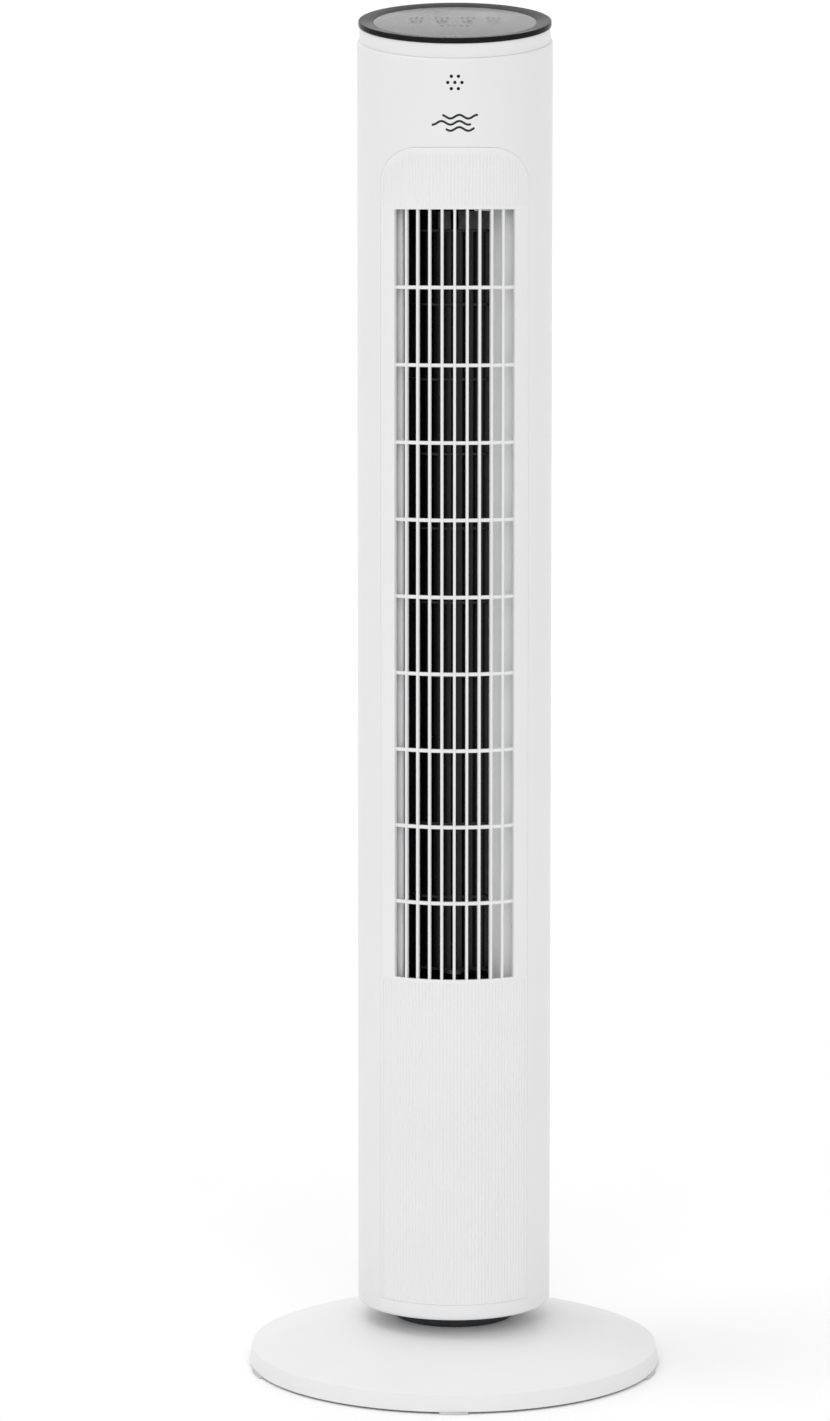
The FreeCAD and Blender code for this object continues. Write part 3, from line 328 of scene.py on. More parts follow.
def plastic(name, dark, light, rough, grain=0.12, grain_scale=1400, sheen=0.35):
    """Moulded plastic: slow drift of tone, patchy sheen and a fine spark-eroded grain."""
    material, bsdf, place = shader(name)
    tree = material.node_tree
    tree.links.new(ramp(tree, noise(tree, place, 9, 3), [dark, light]), bsdf.inputs["Base Color"])
    patches = noise(tree, place, 60, 4)
    tree.links.new(ranged(tree, patches, rough - 0.05, rough + 0.05), bsdf.inputs["Roughness"])
    slow = bump(tree, bsdf, noise(tree, place, 35, 2), 0.4 * grain, 0.0004)
    bump(tree, bsdf, noise(tree, place, grain_scale, 2), grain, 0.00006, slow)
    bsdf.inputs["Specular IOR Level"].default_value = sheen
    return material


def metal(name, dark, light, rough, stretch=(1, 1, 30), scale=120):
    """Metal with fine tool marks drawn out across the given direction."""
    material, bsdf, place = shader(name)
    tree = material.node_tree
    marks = noise(tree, stretched(tree, place, stretch), scale, 4, 0.6)
    tree.links.new(ramp(tree, marks, [dark, light]), bsdf.inputs["Base Color"])
    tree.links.new(ranged(tree, marks, rough - 0.08, rough + 0.1), bsdf.inputs["Roughness"])
    bump(tree, bsdf, marks, 0.25, 0.00005)
    bsdf.inputs["Metallic"].default_value = 1.0
    return material


def rubber(name, dark, light):
    """Matt rubber with a fine pebbled skin."""
    material, bsdf, place = shader(name)
    tree = material.node_tree
    tree.links.new(ramp(tree, noise(tree, place, 45, 4), [dark, light]), bsdf.inputs["Base Color"])
    tree.links.new(ranged(tree, noise(tree, place, 300, 3), 0.62, 0.8), bsdf.inputs["Roughness"])
    bump(tree, bsdf, noise(tree, place, 2200, 3), 0.3, 0.00008)
    return material


def circuit_board():
    """Green solder mask with raised tracks and bare pads."""
    material, bsdf, place = shader("circuit_board")
    tree = material.node_tree
    tracks = tree.nodes.new("ShaderNodeTexBrick")
    tracks.inputs["Scale"].default_value = 160
    tracks.inputs["Mortar Size"].default_value = 0.08
    tracks.inputs["Color1"].default_value = (0.012, 0.10, 0.035, 1)
    tracks.inputs["Color2"].default_value = (0.016, 0.13, 0.045, 1)
    tracks.inputs["Mortar"].default_value = (0.03, 0.22, 0.08, 1)
    tree.links.new(place, tracks.inputs["Vector"])
    tree.links.new(tracks.outputs["Color"], bsdf.inputs["Base Color"])
    bump(tree, bsdf, tracks.outputs["Fac"], 0.4, 0.00005)
    bsdf.inputs["Roughness"].default_value = 0.28
    return material


def layered(name, dark, light, spacing):
    """Thin stacked layers, such as laminations or wound wire, seen edge on along Z."""
    material, bsdf, place = shader(name)
    tree = material.node_tree
    wave = tree.nodes.new("ShaderNodeTexWave")
    wave.bands_direction = "Z"
    wave.inputs["Scale"].default_value = 1 / spacing / 3
    wave.inputs["Distortion"].default_value = 0.6
    tree.links.new(place, wave.inputs["Vector"])
    tree.links.new(ramp(tree, wave.outputs["Fac"], [dark, light], [0.1, 0.9]), bsdf.inputs["Base Color"])
    bump(tree, bsdf, wave.outputs["Fac"], 0.5, 0.0002)
    bsdf.inputs["Metallic"].default_value = 0.85
    bsdf.inputs["Roughness"].default_value = 0.42
    return material


def touch_gloss():
    """The grey touch panel: a smoked gloss sheet with a faint sparkle deep in it."""
    material, bsdf, place = shader("touch_gloss")
    tree = material.node_tree
    fleck = noise(tree, place, 2600, 2)
    smoke = [(0.150, 0.150, 0.153), (0.175, 0.175, 0.178)]
    tree.links.new(ramp(tree, fleck, smoke), bsdf.inputs["Base Color"])
    tree.links.new(ranged(tree, noise(tree, place, 40, 3), 0.16, 0.24), bsdf.inputs["Roughness"])
    bump(tree, bsdf, fleck, 0.05, 0.00003)
    bsdf.inputs["Specular IOR Level"].default_value = 0.2
    return material


MATERIALS = {
    "white_shell": plastic("white_shell", (0.775, 0.775, 0.78), (0.80, 0.80, 0.805), 0.36),
    "white_grille": plastic("white_grille", (0.785, 0.785, 0.79), (0.81, 0.81, 0.815), 0.40, 0.05),
    # pale_guide: the air guides' pale plastic, set whiter than the white shell; the extra whiteness is
    # painted light that stands in for the light falling on them inside the outlet.
    "pale_guide": plastic("pale_guide", (0.86, 0.865, 0.87), (0.89, 0.895, 0.90), 0.42),
    "black_plastic": plastic("black_plastic", (0.006, 0.006, 0.0065), (0.012, 0.012, 0.013), 0.38, 0.2),
    "neck_plastic": plastic("neck_plastic", (0.018, 0.020, 0.022), (0.030, 0.033, 0.036), 0.42, 0.25, 1000),
    "rim_gloss": plastic("rim_gloss", (0.008, 0.008, 0.009), (0.016, 0.016, 0.017), 0.24, 0.04, 900,
                         sheen=0.05),
    "touch_gloss": touch_gloss(),
    "foot_rubber": rubber("foot_rubber", (0.52, 0.52, 0.51), (0.60, 0.60, 0.59)),
    "dark_rubber": rubber("dark_rubber", (0.012, 0.012, 0.012), (0.03, 0.03, 0.03)),
    "natural_nylon": plastic("natural_nylon", (0.62, 0.60, 0.52), (0.70, 0.68, 0.60), 0.45, 0.2),
    "steel": metal("steel", (0.42, 0.42, 0.43), (0.62, 0.62, 0.63), 0.30),
    "black_steel": metal("black_steel", (0.010, 0.010, 0.011), (0.020, 0.020, 0.022), 0.35),
    "ballast_iron": metal("ballast_iron", (0.10, 0.10, 0.105), (0.19, 0.185, 0.18), 0.55, (1, 12, 1)),
    "bronze": metal("bronze", (0.42, 0.27, 0.12), (0.60, 0.41, 0.20), 0.42, (1, 1, 1), 900),
    "copper": layered("copper", (0.30, 0.09, 0.03), (0.72, 0.30, 0.13), 0.0004),
    "motor_steel": metal("motor_steel", (0.34, 0.34, 0.35), (0.50, 0.50, 0.51), 0.38),
    "laminations": layered("laminations", (0.10, 0.10, 0.11), (0.33, 0.33, 0.34), 0.0005),
    "board_green": circuit_board(),
    "component_black": plastic("component_black", (0.015, 0.015, 0.017), (0.03, 0.03, 0.033), 0.5, 0.3, 1200),
    "lead_grey": plastic("lead_grey", (0.05, 0.05, 0.055), (0.08, 0.08, 0.085), 0.5, 0.2),
}


PRINT = plastic("panel_print", (0.018, 0.018, 0.019), (0.030, 0.030, 0.031), 0.4, 0.02, sheen=0.1)
INK = plastic("front_print", (0.008, 0.008, 0.009), (0.016, 0.016, 0.017), 0.45, 0.05)


def dress_cad_nodes():
    """Gives each CAD node the procedural material of its slot."""
    for entry in frame["record"]["subparts"]:
        node = frame["nodes"][entry["node"]]
        node.data.materials.clear()
        node.data.materials.append(MATERIALS[entry["material_slot"]])


# ---- base ----

def dome_height(radius):
    """The base's top: flat beside the neck and steeper towards the edge."""
    share = (1 - (radius / BASE_EDGE) ** 2.5) / (1 - (NECK_RADIUS / BASE_EDGE) ** 2.5)
    return BASE_EDGE_HEIGHT + (BASE_TOP - BASE_EDGE_HEIGHT) * share


def make_base_shell():
    """The low dome with its edge band, hollow below, and the cord inlet at the back."""
    hole = NECK_RADIUS - 2.8 * MM
    edge_round, foot_round = 0.7 * MM, 0.4 * MM
    gland_radius, gland_cut = 3.8 * MM, 20 * MM
    steps = 24
    reach = BASE_EDGE - 2 * edge_round - NECK_RADIUS
    radii = [NECK_RADIUS + reach * step / steps for step in range(steps + 1)]
    dome = [(radius, dome_height(radius)) for radius in radii]
    edge = rounded([(dome[-1][0], dome[-1][1], 0), (BASE_EDGE, BASE_EDGE_HEIGHT, edge_round),
                    (BASE_RADIUS, FOOT_HEIGHT, foot_round),
                    (BASE_RADIUS - BASE_WALL, FOOT_HEIGHT, foot_round),
                    (BASE_EDGE - BASE_WALL, BASE_EDGE_HEIGHT - BASE_WALL, 1 * MM)], 5)[1:]
    inside = [(radius, dome_height(radius) - BASE_WALL) for radius in reversed(radii)
              if radius < BASE_EDGE - 4 * MM]
    outline = [(hole, BASE_TOP)] + dome + edge + inside + [(hole, BASE_TOP - BASE_WALL)]
    bm = bmesh.new()
    lathe(bm, outline, 256)
    shell = make_piece("base_dome", bm, MATERIALS["white_shell"], "base",
                       ["base_shell"], sharp=35)
    gland = (low("cord_gland") + high("cord_gland")) / 2
    cut_round_holes(shell, [(gland, Vector((0, 1, 0)), gland_radius, gland_cut)])


def cut_round_holes(piece, holes):
    """Cuts round holes, each (middle, direction, radius, depth), through a piece."""
    bm = bmesh.new()
    for middle, along, radius, depth in holes:
        turn = Vector((0, 0, 1)).rotation_difference(along).to_matrix().to_4x4()
        bmesh.ops.create_cone(bm, cap_ends=True, segments=32, radius1=radius, radius2=radius, depth=depth,
                              matrix=Matrix.Translation(middle) @ turn)
    subtract(piece, bm)


def subtract(piece, bm):
    """Takes the solids of a working mesh away from a piece."""
    mesh = bpy.data.meshes.new("cutter")
    bm.to_mesh(mesh)
    bm.free()
    tool = bpy.data.objects.new("cutter", mesh)
    bpy.context.scene.collection.objects.link(tool)
    cut = piece.modifiers.new("cut", "BOOLEAN")
    cut.operation = "DIFFERENCE"
    cut.solver = "EXACT"
    cut.use_self = True
    cut.object = tool
    bake_modifiers(piece)
    bpy.data.objects.remove(tool)
    shade(piece.data, 40)


def make_neck():
    """The dark stump between base and tower, with a track for the slide ring in its top."""
    bm = bmesh.new()
    bore, plug = 8.2 * MM, NECK_RADIUS - 3 * MM
    inner, outer = 18 * MM, NECK_RADIUS - 4 * MM
    track = NECK_TOP - 2 * MM
    small = 0.3 * MM
    outline = rounded([
        (bore, NECK_BOTTOM, 0), (plug, NECK_BOTTOM, small), (plug, BASE_TOP, 0),
        (NECK_RADIUS, BASE_TOP, 0.2 * MM), (NECK_RADIUS, NECK_TOP, 0.8 * MM), (outer, NECK_TOP, small),
        (outer, track, 0), (inner, track, 0), (inner, NECK_TOP, small), (bore, NECK_TOP, small)], 4)
    lathe(bm, outline, 160)
    make_piece("neck_skirt", bm, MATERIALS["neck_plastic"], "base", ["neck"], sharp=35)


def make_feet():
    """Soft pads with rounded corners that show as thin lips under the rim."""
    pads, steps = 5, 8
    outer = -low("rubber_feet").y
    inner = outer - 19 * MM
    half = 8.2 * MM / outer
    bm = bmesh.new()
    for number in range(pads):
        middle = number * 2 * math.pi / pads
        places = [(outer, step) for step in range(steps + 1)]
        places += [(inner, step) for step in range(steps, -1, -1)]
        turns = [(radius, middle - half + 2 * half * step / steps) for radius, step in places]
        sweep(bm, [[front_point(radius, angle, height) for radius, angle in turns]
                   for height in (FLOOR, FOOT_HEIGHT)])
    make_piece("foot_pads", bm, MATERIALS["foot_rubber"], "base", ["rubber_feet"],
               edge=0.35 * MM)


# ---- tower shell ----

def corner_drop(x, half, corner):
    """How far a rounded upper corner has fallen at a distance from the middle."""
    over = abs(x) - (half - corner)
    return 0 if over <= 0 else corner - math.sqrt(max(corner ** 2 - over ** 2, 0))


def shell_columns(half):
    """Angles round the shell, closer together by the front window's corners and the small holes."""
    corner = PANEL_CORNER + PANEL_GAP
    corner_steps, middle_steps = 14, 22
    right = [half - corner + corner * math.sin(math.pi / 2 * step / corner_steps)
             for step in range(corner_steps + 1)]
    middle = [(half - corner) * step / middle_steps for step in range(middle_steps)]
    xs = sorted(set([-x for x in right + middle] + right + middle))
    inside = [math.asin(max(-1, min(1, x / TOWER_RADIUS))) for x in xs]
    edge = inside[-1]
    start, end = intake_angles()
    stops = [edge, start, end, 2 * math.pi - edge]
    outside = []
    for first, last in zip(stops, stops[1:]):
        count = round((last - first) / math.radians(2))
        outside += [first + (last - first) * step / count for step in range(1, count + 1)]
    return inside + outside[:-1], len(inside)


def intake_angles():
    """The rear intake's two sides, as angles from the front towards the right."""
    start = math.radians(INTAKE_START)
    return start, start + math.radians(INTAKE_SPAN)


def shell_rows():
    """Heights of the shell's straight part: the window's foot, the intake and the window's upper corners."""
    rows = [TOWER_BOTTOM + TOWER_FOOT, PANEL_BOTTOM - PANEL_GAP, 70 * MM, 110 * MM, 150 * MM, 190 * MM]
    rows += [INTAKE_BOTTOM - INTAKE_GAP]
    steps = 10
    rows += [INTAKE_BOTTOM + (INTAKE_TOP - INTAKE_BOTTOM) * step / steps for step in range(1, steps)]
    rows += [INTAKE_TOP + INTAKE_GAP, PANEL_TOP - PANEL_CORNER]
    return rows


def shell_column(angle, rows, arch):
    """One column of the shell: rounded foot, the rows, the wall above the arch and the rounded shoulder."""
    shoulder, upper_steps, shoulder_steps = 1.1 * MM, 14, 5
    column = []
    for step in range(FOOT_STEPS):
        turn = math.pi / 2 * step / FOOT_STEPS
        radius = TOWER_RADIUS - TOWER_FOOT * (1 - math.sin(turn))
        column.append(front_point(radius, angle, TOWER_BOTTOM + TOWER_FOOT * (1 - math.cos(turn))))
    column += [front_point(TOWER_RADIUS, angle, height) for height in rows[:-1] + [arch]]
    rim = SEAM - SLANT * TOWER_RADIUS * math.cos(angle)
    for step in range(1, upper_steps + 1):
        height = arch + (rim - shoulder - arch) * step / upper_steps
        column.append(front_point(TOWER_RADIUS, angle, height))
    for step in range(1, shoulder_steps + 1):
        turn = math.pi / 2 * step / shoulder_steps
        radius = TOWER_RADIUS - shoulder * (1 - math.cos(turn))
        plane = SEAM - SLANT * radius * math.cos(angle)
        column.append(front_point(radius, angle, plane - shoulder * (1 - math.sin(turn))))
    return column


def make_tower_shell():
    """The round wall: rounded foot, front window with round upper corners, rear window, slanted shoulder."""
    half = PANEL_HALF + PANEL_GAP
    window_top = PANEL_TOP + PANEL_GAP
    corner = PANEL_CORNER + PANEL_GAP
    angles, inside = shell_columns(half)
    rows = shell_rows()
    bm = bmesh.new()
    grid = []
    for number, angle in enumerate(angles):
        arch = rows[-1]
        if number < inside:
            arch = window_top - corner_drop(TOWER_RADIUS * math.sin(angle), half, corner)
        grid.append([bm.verts.new(point) for point in shell_column(angle, rows, arch)])
    window_rows = range(FOOT_STEPS + 1, FOOT_STEPS + len(rows) - 1)
    start, end = intake_angles()
    intake_rows = [FOOT_STEPS + index for index in range(len(rows) - 1)
                   if INTAKE_BOTTOM - 1 * MM < rows[index] < INTAKE_TOP - 1 * MM]
    count = len(angles)
    for number in range(count):
        after = (number + 1) % count
        middle = (angles[number] + (angles[after] if after else angles[0] + 2 * math.pi)) / 2
        for row in range(len(grid[0]) - 1):
            if number < inside - 1 and row in window_rows:
                continue
            if start < middle < end and row in intake_rows:
                continue
            bm.faces.new((grid[number][row], grid[after][row], grid[after][row + 1], grid[number][row + 1]))
    drop_loose(bm)
    thicken(bm, INNER_RADIUS)
    shell = make_piece("tower_skin", bm, MATERIALS["white_shell"], "tower", ["tower_shell"],
                       edge=0.4 * MM, sharp=40)
    cut_round_holes(shell, vent_holes() + screw_wells())


def vent_holes():
    """Seven small holes in front of the sounder: one in the middle and six round it."""
    outer_holes, circle, radius, depth = 6, 3.95 * MM, 0.95 * MM, 12 * MM
    middle = Vector((0, -TOWER_RADIUS, (low("beeper").z + high("beeper").z) / 2))
    spots = [Vector((0, 0, 0))]
    for number in range(outer_holes):
        angle = math.radians(360 / outer_holes * number)
        spots.append(Vector((math.cos(angle), 0, math.sin(angle))) * circle)
    return [(middle + spot, Vector((0, 1, 0)), radius, depth) for spot in spots]


def screw_wells():
    """The counterbores of the shell's rear screws: 1.1 mm deep, with the cutter's rest outside the wall."""
    radius, length, shift = REAR_SCREW_HEAD + 0.3 * MM, 10.2 * MM, 4 * MM
    return [(middle + along * shift, along, radius, length) for middle, along in rear_screws()]


def rear_screws():
    """Each rear screw's head: a point on the wall's outer face and the way out."""
    bottom = low("shell_screws").z + REAR_SCREW_HEAD
    middle = low("lower_duct_plate").z + 18 * MM
    top = high("shell_screws").z - REAR_SCREW_HEAD
    places = []
    for height in (bottom, middle, top):
        for degrees in REAR_SCREW_ANGLES:
            angle = math.radians(degrees)
            along = Vector((math.cos(angle), math.sin(angle), 0))
            places.append((along * TOWER_RADIUS + Vector((0, 0, height)), along))
    return places


# ---- front panel ----

def rib_profile(angle):
    """Depth share of the ribs at an angle: narrow valleys between broad rounded ribs."""
    half_valley = 0.32
    turn = (math.degrees(angle) / RIB_PITCH + 0.5) % 1.0
    return max(0.0, 1 - abs(turn - 0.5) / half_valley)


def panel_columns():
    """Angles across the panel: the ribs' flanks, the outlet's sides and the rounded edge."""
    edge = math.asin(PANEL_HALF / TOWER_RADIUS)
    opening = math.asin(OUTLET_HALF / TOWER_RADIUS)
    pitch = math.radians(RIB_PITCH)
    count = int(edge / pitch) + 1
    marks = []
    for number in range(-count, count + 1):
        for share in (-0.5, -0.3, -0.2, -0.1, 0, 0.1, 0.2, 0.3):
            marks.append((number + share) * pitch)
    near = math.radians(0.12)
    fixed = [opening, -opening]
    for inset in (0, 0.03, 0.15, 0.4, 0.9):
        angle = math.asin((PANEL_HALF - inset * MM) / TOWER_RADIUS)
        fixed += [angle, -angle]
    kept = [mark for mark in marks if abs(mark) < edge and all(abs(mark - item) > near for item in fixed)]
    return sorted(kept + fixed), opening


def panel_rows(top):
    """A column's rows below, beside and above the outlet, each (height, share of the ribs' depth)."""
    lower_steps, side_steps = 6, 8
    lower, side = OUTLET_BOTTOM - PANEL_BOTTOM, OUTLET_TOP - OUTLET_BOTTOM
    below = [(PANEL_BOTTOM, 0), (PANEL_BOTTOM + 0.6 * MM, 0), (PANEL_BOTTOM + 1.4 * MM, 1)]
    below += [(PANEL_BOTTOM + lower * step / lower_steps, 1) for step in range(1, lower_steps)]
    below += [(OUTLET_BOTTOM - 2.4 * MM, 1), (OUTLET_BOTTOM - 1.6 * MM, 0)]
    beside = [(OUTLET_BOTTOM, 0)]
    beside += [(OUTLET_BOTTOM + side * step / side_steps, 0) for step in range(1, side_steps)]
    above = [(OUTLET_TOP, 0), (OUTLET_TOP + 1.6 * MM, 0), (OUTLET_TOP + 2.4 * MM, 1)]
    above += [((OUTLET_TOP + top) / 2 - 1 * MM, 1), (top - 4.8 * MM, 1), (top - 4 * MM, 0), (top, 0)]
    return below, beside, above


def make_front_panel():
    """The inset panel: upright ribs above and below the outlet, smooth sides beside it."""
    angles, opening = panel_columns()
    bm = bmesh.new()
    grid = []
    for angle in angles:
        x = TOWER_RADIUS * math.sin(angle)
        valley = rib_profile(angle) * RIB_DEPTH
        if abs(abs(x) - PANEL_HALF) < 1.2 * MM:
            valley = 0
        below, beside, above = panel_rows(PANEL_TOP - corner_drop(x, PANEL_HALF, PANEL_CORNER))
        grid.append([bm.verts.new(front_point(TOWER_RADIUS - valley * share, angle, height))
                     for height, share in below + beside + above])
    outlet_rows = range(len(below), len(below + beside))
    for number in range(len(angles) - 1):
        middle = (angles[number] + angles[number + 1]) / 2
        for row in range(len(grid[0]) - 1):
            if abs(middle) < opening and row in outlet_rows:
                continue
            bm.faces.new((grid[number][row], grid[number + 1][row],
                          grid[number + 1][row + 1], grid[number][row + 1]))
    drop_loose(bm)
    thicken(bm, INNER_RADIUS)
    make_piece("grille_panel", bm, MATERIALS["white_grille"], "tower", ["front_grille"],
               edge=0.4 * MM, sharp=45)


def make_outlet_bars():
    """Nine uprights with rounded fronts and nine thinner crossbars set just behind them."""
    width, root, setback = 1.6 * MM, 0.5 * MM, 0.6 * MM
    outer = TOWER_RADIUS - setback
    inner = outer - 2.4 * MM
    bm = bmesh.new()
    for number in range(-4, 5):
        upright_bar(bm, width, inner, outer, OUTLET_BOTTOM - root, OUTLET_TOP + root,
                    math.radians(UPRIGHT_SPACING * number), 0.3 * MM, 0.6 * MM)
    reach = math.asin((OUTLET_HALF + root) / INNER_RADIUS)
    half, cells = 1 * MM, 10
    for number in range(1, cells):
        middle = OUTLET_BOTTOM + (OUTLET_TOP - OUTLET_BOTTOM) * number / cells
        arc_bar(bm, inner - setback, outer - setback, middle - half, middle + half,
                -reach, reach, 0.4 * MM, math.radians(2.5))
    make_piece("grille_bars", bm, MATERIALS["white_grille"], "tower", sharp=50)


# ---- rear intake ----

def make_rear_grille():
    """Thin slats between uprights inside a plain border."""
    start, end = intake_angles()
    gap = INTAKE_GAP / TOWER_RADIUS
    start, end = start + gap, end - gap
    rib = 2.6 * MM
    turn = rib / TOWER_RADIUS
    slot, web = 4.5 * MM, 2 * MM
    pitch = slot + web
    closed_rows = 2  # above the wheel, where the sky would show through
    first_top = OUTLET_TOP - INTAKE_BORDER - closed_rows * pitch
    rows = int((first_top - (INTAKE_BOTTOM - INTAKE_GAP + INTAKE_BORDER) + web) / pitch)
    last_bottom = first_top - slot - (rows - 1) * pitch
    bm = bmesh.new()
    for row in range(rows - 1):
        top = first_top - slot - row * pitch
        arc_bar(bm, INNER_RADIUS + 0.1 * MM, TOWER_RADIUS - 0.35 * MM, top - web, top,
                start + turn / 2, end - turn / 2, 0.35 * MM, math.radians(3))
    for bottom, top in ((first_top, INTAKE_TOP), (INTAKE_BOTTOM, last_bottom)):
        arc_bar(bm, INNER_RADIUS, TOWER_RADIUS, bottom, top, start, end, 0.3 * MM, math.radians(3))
    bays = 6
    for column in range(bays + 1):
        angle = math.radians(INTAKE_START + INTAKE_SPAN // bays * column)
        width, shift = rib, 0
        if column == 0:
            width, shift = rib / 2, turn / 4
        if column == bays:
            width, shift = rib / 2, -turn / 4
        upright_bar(bm, width, INNER_RADIUS + 0.05 * MM, TOWER_RADIUS - 0.06 * MM,
                    INTAKE_BOTTOM + 1 * MM, INTAKE_TOP - 0.2 * MM, angle + shift, 0.3 * MM, 0.4 * MM)
    make_piece("intake_slats", bm, MATERIALS["white_grille"], "tower",
               ["rear_grille"], sharp=50)


# ---- control head ----

def make_collar():
    """The white band above the seam, with the spigot that enters the shell."""
    bm = bmesh.new()
    inner = COLLAR_RADIUS - COLLAR_WALL
    spigot = INNER_RADIUS - 0.2 * MM
    outline = rounded([(inner, SEAM - SPIGOT_DEPTH, 0), (spigot, SEAM - SPIGOT_DEPTH, 0.3 * MM),
                       (spigot, SEAM, 0), (COLLAR_RADIUS, SEAM, 0.15 * MM),
                       (COLLAR_RADIUS, RIM_BOTTOM, 0.35 * MM), (inner, RIM_BOTTOM, 0)], 4)
    lathe(bm, outline, 192, SLANT)
    make_piece("collar_band", bm, MATERIALS["white_shell"], "tower", ["top_collar"], sharp=35)


def make_rim():
    """The dark rim: rounded lip outside, a shallow dish that falls to the touch panel."""
    bm = bmesh.new()
    ledge = LENS_RADIUS - 3.6 * MM
    gap = 0.1 * MM
    plug, plug_bottom = COLLAR_RADIUS - COLLAR_WALL - 2 * gap, SEAM + 1 * MM
    outline = rounded([
        (ledge, plug_bottom, 0), (plug, plug_bottom, 0), (plug, RIM_BOTTOM, 0),
        (RIM_RADIUS, RIM_BOTTOM, 0.4 * MM), (RIM_RADIUS, RIM_TOP, 0.7 * MM),
        (LENS_RADIUS + gap, LENS_TOP, 0.25 * MM), (LENS_RADIUS + gap, LENS_BOTTOM - gap, 0),
        (ledge, LENS_BOTTOM - gap, 0)], 6)
    lathe(bm, outline, 224, SLANT)
    make_piece("control_rim", bm, MATERIALS["rim_gloss"], "tower", ["control_bezel"], sharp=32)


def make_lens():
    """The round touch panel, let into the rim."""
    bm = bmesh.new()
    outline = rounded([(0, LENS_BOTTOM, 0), (LENS_RADIUS, LENS_BOTTOM, 0.1 * MM),
                       (LENS_RADIUS, LENS_TOP, 0.3 * MM), (0, LENS_TOP, 0)], 5)
    lathe(bm, outline, 192, SLANT)
    make_piece("touch_lens", bm, MATERIALS["touch_gloss"], "tower", ["touch_panel"], sharp=40)


# ---- printed marks and screws ----

def ribbon(bm, path, width, lift, closed=False):
    """A thin flat line of print that follows a path of (across, along) points on a surface."""
    points = [Vector(point) for point in path]
    count = len(points)
    pairs = []
    for index, point in enumerate(points):
        before = points[index - 1] if index or closed else point
        after = points[(index + 1) % count] if index + 1 < count or closed else point
        along = (after - before).normalized()
        side = Vector((-along.y, along.x)) * width / 2
        pairs.append([bm.verts.new(lift(point + side)), bm.verts.new(lift(point - side))])
    for index in range(count if closed else count - 1):
        first, second = pairs[index], pairs[(index + 1) % count]
        bm.faces.new((first[0], first[1], second[1], second[0]))


def arc_path(centre, radius, start, end, steps=20):
    """Points along an arc between two angles in degrees."""
    path = []
    for step in range(steps + 1):
        angle = math.radians(start + (end - start) * step / steps)
        path.append((centre[0] + radius * math.cos(angle), centre[1] + radius * math.sin(angle)))
    return path


def on_lens(point):
    """Lays a flat drawing on the slanted touch panel."""
    return Vector((point.x, point.y, LENS_TOP + SLANT * point.y + PRINT_LIFT))


def on_front(height):
    """Wraps a flat drawing round the shell's front, centred at a height."""
    def lift(point):
        return front_point(TOWER_RADIUS + PRINT_LIFT, point.x / TOWER_RADIUS, height + point.y)
    return lift


def make_key_symbols():
    """Power, clock, air speed and swing on the touch panel, with lamps behind and a row in front."""
    bm = bmesh.new()
    line = 0.6 * MM
    row = 2.0 * MM
    size = 2.9 * MM

    def draw(path, closed=False):
        ribbon(bm, path, line, on_lens, closed)

    power, clock, speed, swing = [(x * MM, row) for x in (-22, -7.5, 7.5, 22)]
    draw(arc_path(power, size, 120, 420))
    draw([(power[0], power[1] + 0.2 * size), (power[0], power[1] + 1.3 * size)])
    draw(arc_path(clock, size, 0, 342), True)
    draw([(clock[0], clock[1] + 0.65 * size), clock, (clock[0] + 0.5 * size, clock[1])])
    for turn in (90, 210, 330):
        angle = math.radians(turn)
        middle = (speed[0] + 0.5 * size * math.cos(angle), speed[1] + 0.5 * size * math.sin(angle))
        draw(arc_path(middle, 0.5 * size, turn - 180, turn + 20))
    draw(arc_path((swing[0], swing[1] - 0.9 * size), 1.5 * size, 40, 140))
    for side in (-1, 1):
        tip = (swing[0] + side * 1.15 * size, swing[1] + 0.05 * size)
        draw([(tip[0] - side * 0.55 * size, tip[1] - 0.1 * size), tip,
              (tip[0] - side * 0.02 * size, tip[1] + 0.6 * size)])
    for x, _ in (power, clock, speed, swing):
        draw([(x - 3 * MM, row - 5.4 * MM), (x + 3 * MM, row - 5.4 * MM)])
        for number in (-1, 0, 1):
            spot = (x + number * 3.2 * MM, row + 8.5 * MM)
            draw(arc_path(spot, 0.55 * MM, 0, 324, 9), True)
            spot = (x + number * 3.2 * MM, row + 12 * MM)
            draw([(spot[0] - 0.8 * MM, spot[1]), (spot[0] + 0.8 * MM, spot[1])])
    for number in range(-2, 3):
        draw(arc_path((number * 3.6 * MM, -12 * MM), 0.9 * MM, 0, 330, 11), True)
    make_piece("key_symbols", bm, PRINT, "tower", sharp=40)


def make_breeze_print():
    """Three wavy lines on the front that stand for moving air."""
    bm = bmesh.new()
    height = SEAM - SLANT * TOWER_RADIUS - 35.5 * MM
    line, wave, steps = 1.25 * MM, 10, 40
    for shift, start, end in ((3.4, -7, 13), (0, -13, 9), (-3.4, -5, 11)):
        path = []
        for step in range(steps + 1):
            x = start + (end - start) * step / steps
            path.append((x * MM, (shift + math.sin(2 * math.pi * x / wave)) * MM))
        ribbon(bm, path, line, on_front(height))
    make_piece("breeze_print", bm, INK, "tower", sharp=40)


def make_screw_heads():
    """Pan heads with cross recesses, sunk in the shell's rear wells."""
    segments, sunk = 32, 0.2 * MM
    profile = [(1, 0.8 * MM), (1, 0.35 * MM), (0.8, 0.08 * MM), (0.55, 0)]
    bm = bmesh.new()
    for middle, along in rear_screws():
        turn = Vector((0, 0, 1)).rotation_difference(along).to_matrix()
        centre = middle - along * sunk
        sections = []
        for share, drop in profile:
            ring = []
            for step in range(segments):
                angle = 2 * math.pi * step / segments
                flat = Vector((math.cos(angle), math.sin(angle), 0)) * REAR_SCREW_HEAD * share
                ring.append(centre + turn @ (flat - Vector((0, 0, drop))))
            sections.append(ring)
        sweep(bm, sections)
    heads = make_piece("screw_heads", bm, MATERIALS["steel"], "tower", sharp=40)
    cut_crosses(heads)


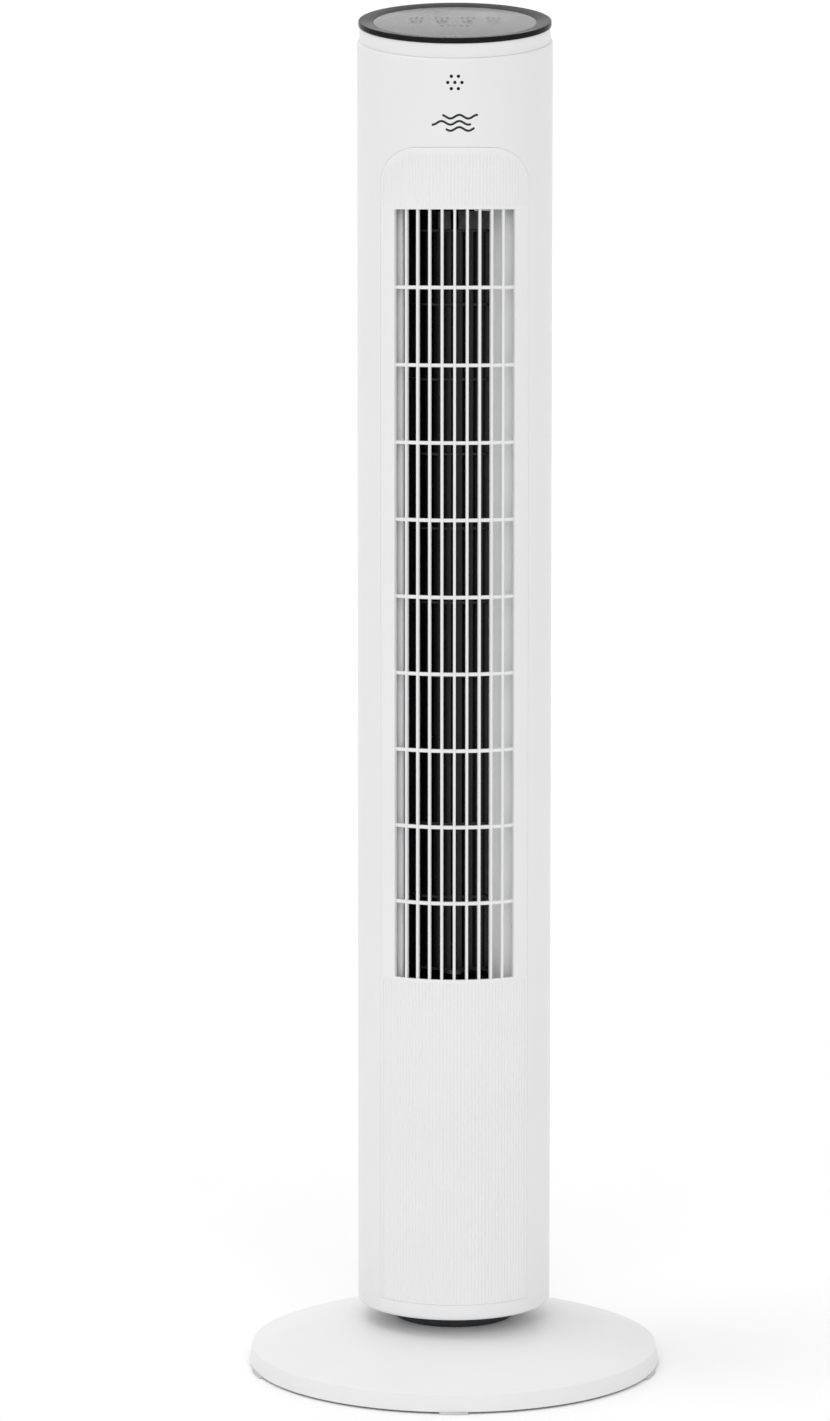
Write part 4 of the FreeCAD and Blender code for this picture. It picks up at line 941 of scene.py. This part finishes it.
def cut_crosses(piece):
    """Cuts a cross recess into each rear screw's head."""
    length, width, depth = 3.0 * MM, 0.75 * MM, 1.5 * MM
    bm = bmesh.new()
    for middle, along in rear_screws():
        turn = Vector((0, 0, 1)).rotation_difference(along).to_matrix().to_4x4()
        for quarter in (0, math.pi / 2):
            place = Matrix.Translation(middle) @ turn @ Matrix.Rotation(quarter, 4, "Z")
            bmesh.ops.create_cube(bm, size=1, matrix=place @ Matrix.Diagonal((length, width, depth, 1)))
    subtract(piece, bm)


# ---- camera, light and floor ----

def make_camera():
    """A long lens a little above the fan's top, tipped slightly down."""
    tilt, turn = 0.094, 0.0089
    camera = bpy.data.cameras.new("camera")
    camera.sensor_fit = "VERTICAL"
    camera.sensor_height = 36
    camera.lens = 112.73
    camera.shift_y = -0.0632
    holder = bpy.data.objects.new("camera", camera)
    holder.location = (0, -2.5516, 0.67465)
    holder.rotation_euler = (math.pi / 2 - tilt, 0, turn)
    bpy.context.scene.collection.objects.link(holder)
    bpy.context.scene.camera = holder


def make_studio():
    """An even white room, a soft light from above on the left and a softer one from the front."""
    world = bpy.data.worlds.new("studio")
    bpy.context.scene.world = world
    world.use_nodes = True
    world.node_tree.nodes["Background"].inputs["Color"].default_value = (1, 1, 1, 1)
    world.node_tree.nodes["Background"].inputs["Strength"].default_value = 0.76
    soft_sun("key", along=(0.7, 0.12, -2.0), strength=0.50, spread=24)
    soft_sun("fill", along=(0.0, 1.0, -0.8), strength=0.60, spread=50)
    bpy.context.scene.view_settings.view_transform = "Standard"


def soft_sun(name, along, strength, spread):
    """A distant light that shines along a direction, spread over an angle in degrees."""
    light = bpy.data.lights.new(name, "SUN")
    light.energy = strength
    light.angle = math.radians(spread)
    holder = bpy.data.objects.new(name, light)
    holder.rotation_euler = Vector(along).to_track_quat("-Z", "Y").to_euler()
    bpy.context.scene.collection.objects.link(holder)


def make_floor():
    """A pale sheet that runs under the fan and curves up far behind it."""
    material, bsdf, place = shader("pale_floor")
    tree = material.node_tree
    pale = [(0.95, 0.95, 0.95), (0.97, 0.97, 0.97)]
    tree.links.new(ramp(tree, noise(tree, place, 3, 3), pale), bsdf.inputs["Base Color"])
    tree.links.new(ranged(tree, noise(tree, place, 8, 3), 0.5, 0.6), bsdf.inputs["Roughness"])
    bend, bend_steps, back, top = 2.0, 12, 6.0, 9.0
    line = [(y, 0.0) for y in (-14.0, -6.0, -2.0, 0.0, 2.0, back - bend)]
    for step in range(1, bend_steps + 1):
        turn = math.pi / 2 * step / bend_steps
        line.append((back - bend + bend * math.sin(turn), bend * (1 - math.cos(turn))))
    line.append((back, top))
    bm = bmesh.new()
    columns = [[bm.verts.new((x, y, FLOOR + z)) for y, z in line] for x in (-12, -4, 0, 4, 12)]
    for first, second in zip(columns, columns[1:]):
        for row in range(len(line) - 1):
            bm.faces.new((first[row], second[row], second[row + 1], first[row + 1]))
    mesh = bpy.data.meshes.new("floor")
    bm.to_mesh(mesh)
    bm.free()
    mesh.materials.append(material)
    shade(mesh, 60)
    floor = bpy.data.objects.new("floor", mesh)
    bpy.context.scene.collection.objects.link(floor)


make_camera()
make_studio()
make_floor()
dress_cad_nodes()
make_base_shell()
make_neck()
make_feet()
make_tower_shell()
make_front_panel()
make_outlet_bars()
make_rear_grille()
make_collar()
make_rim()
make_lens()
make_key_symbols()
make_breeze_print()
make_screw_heads()
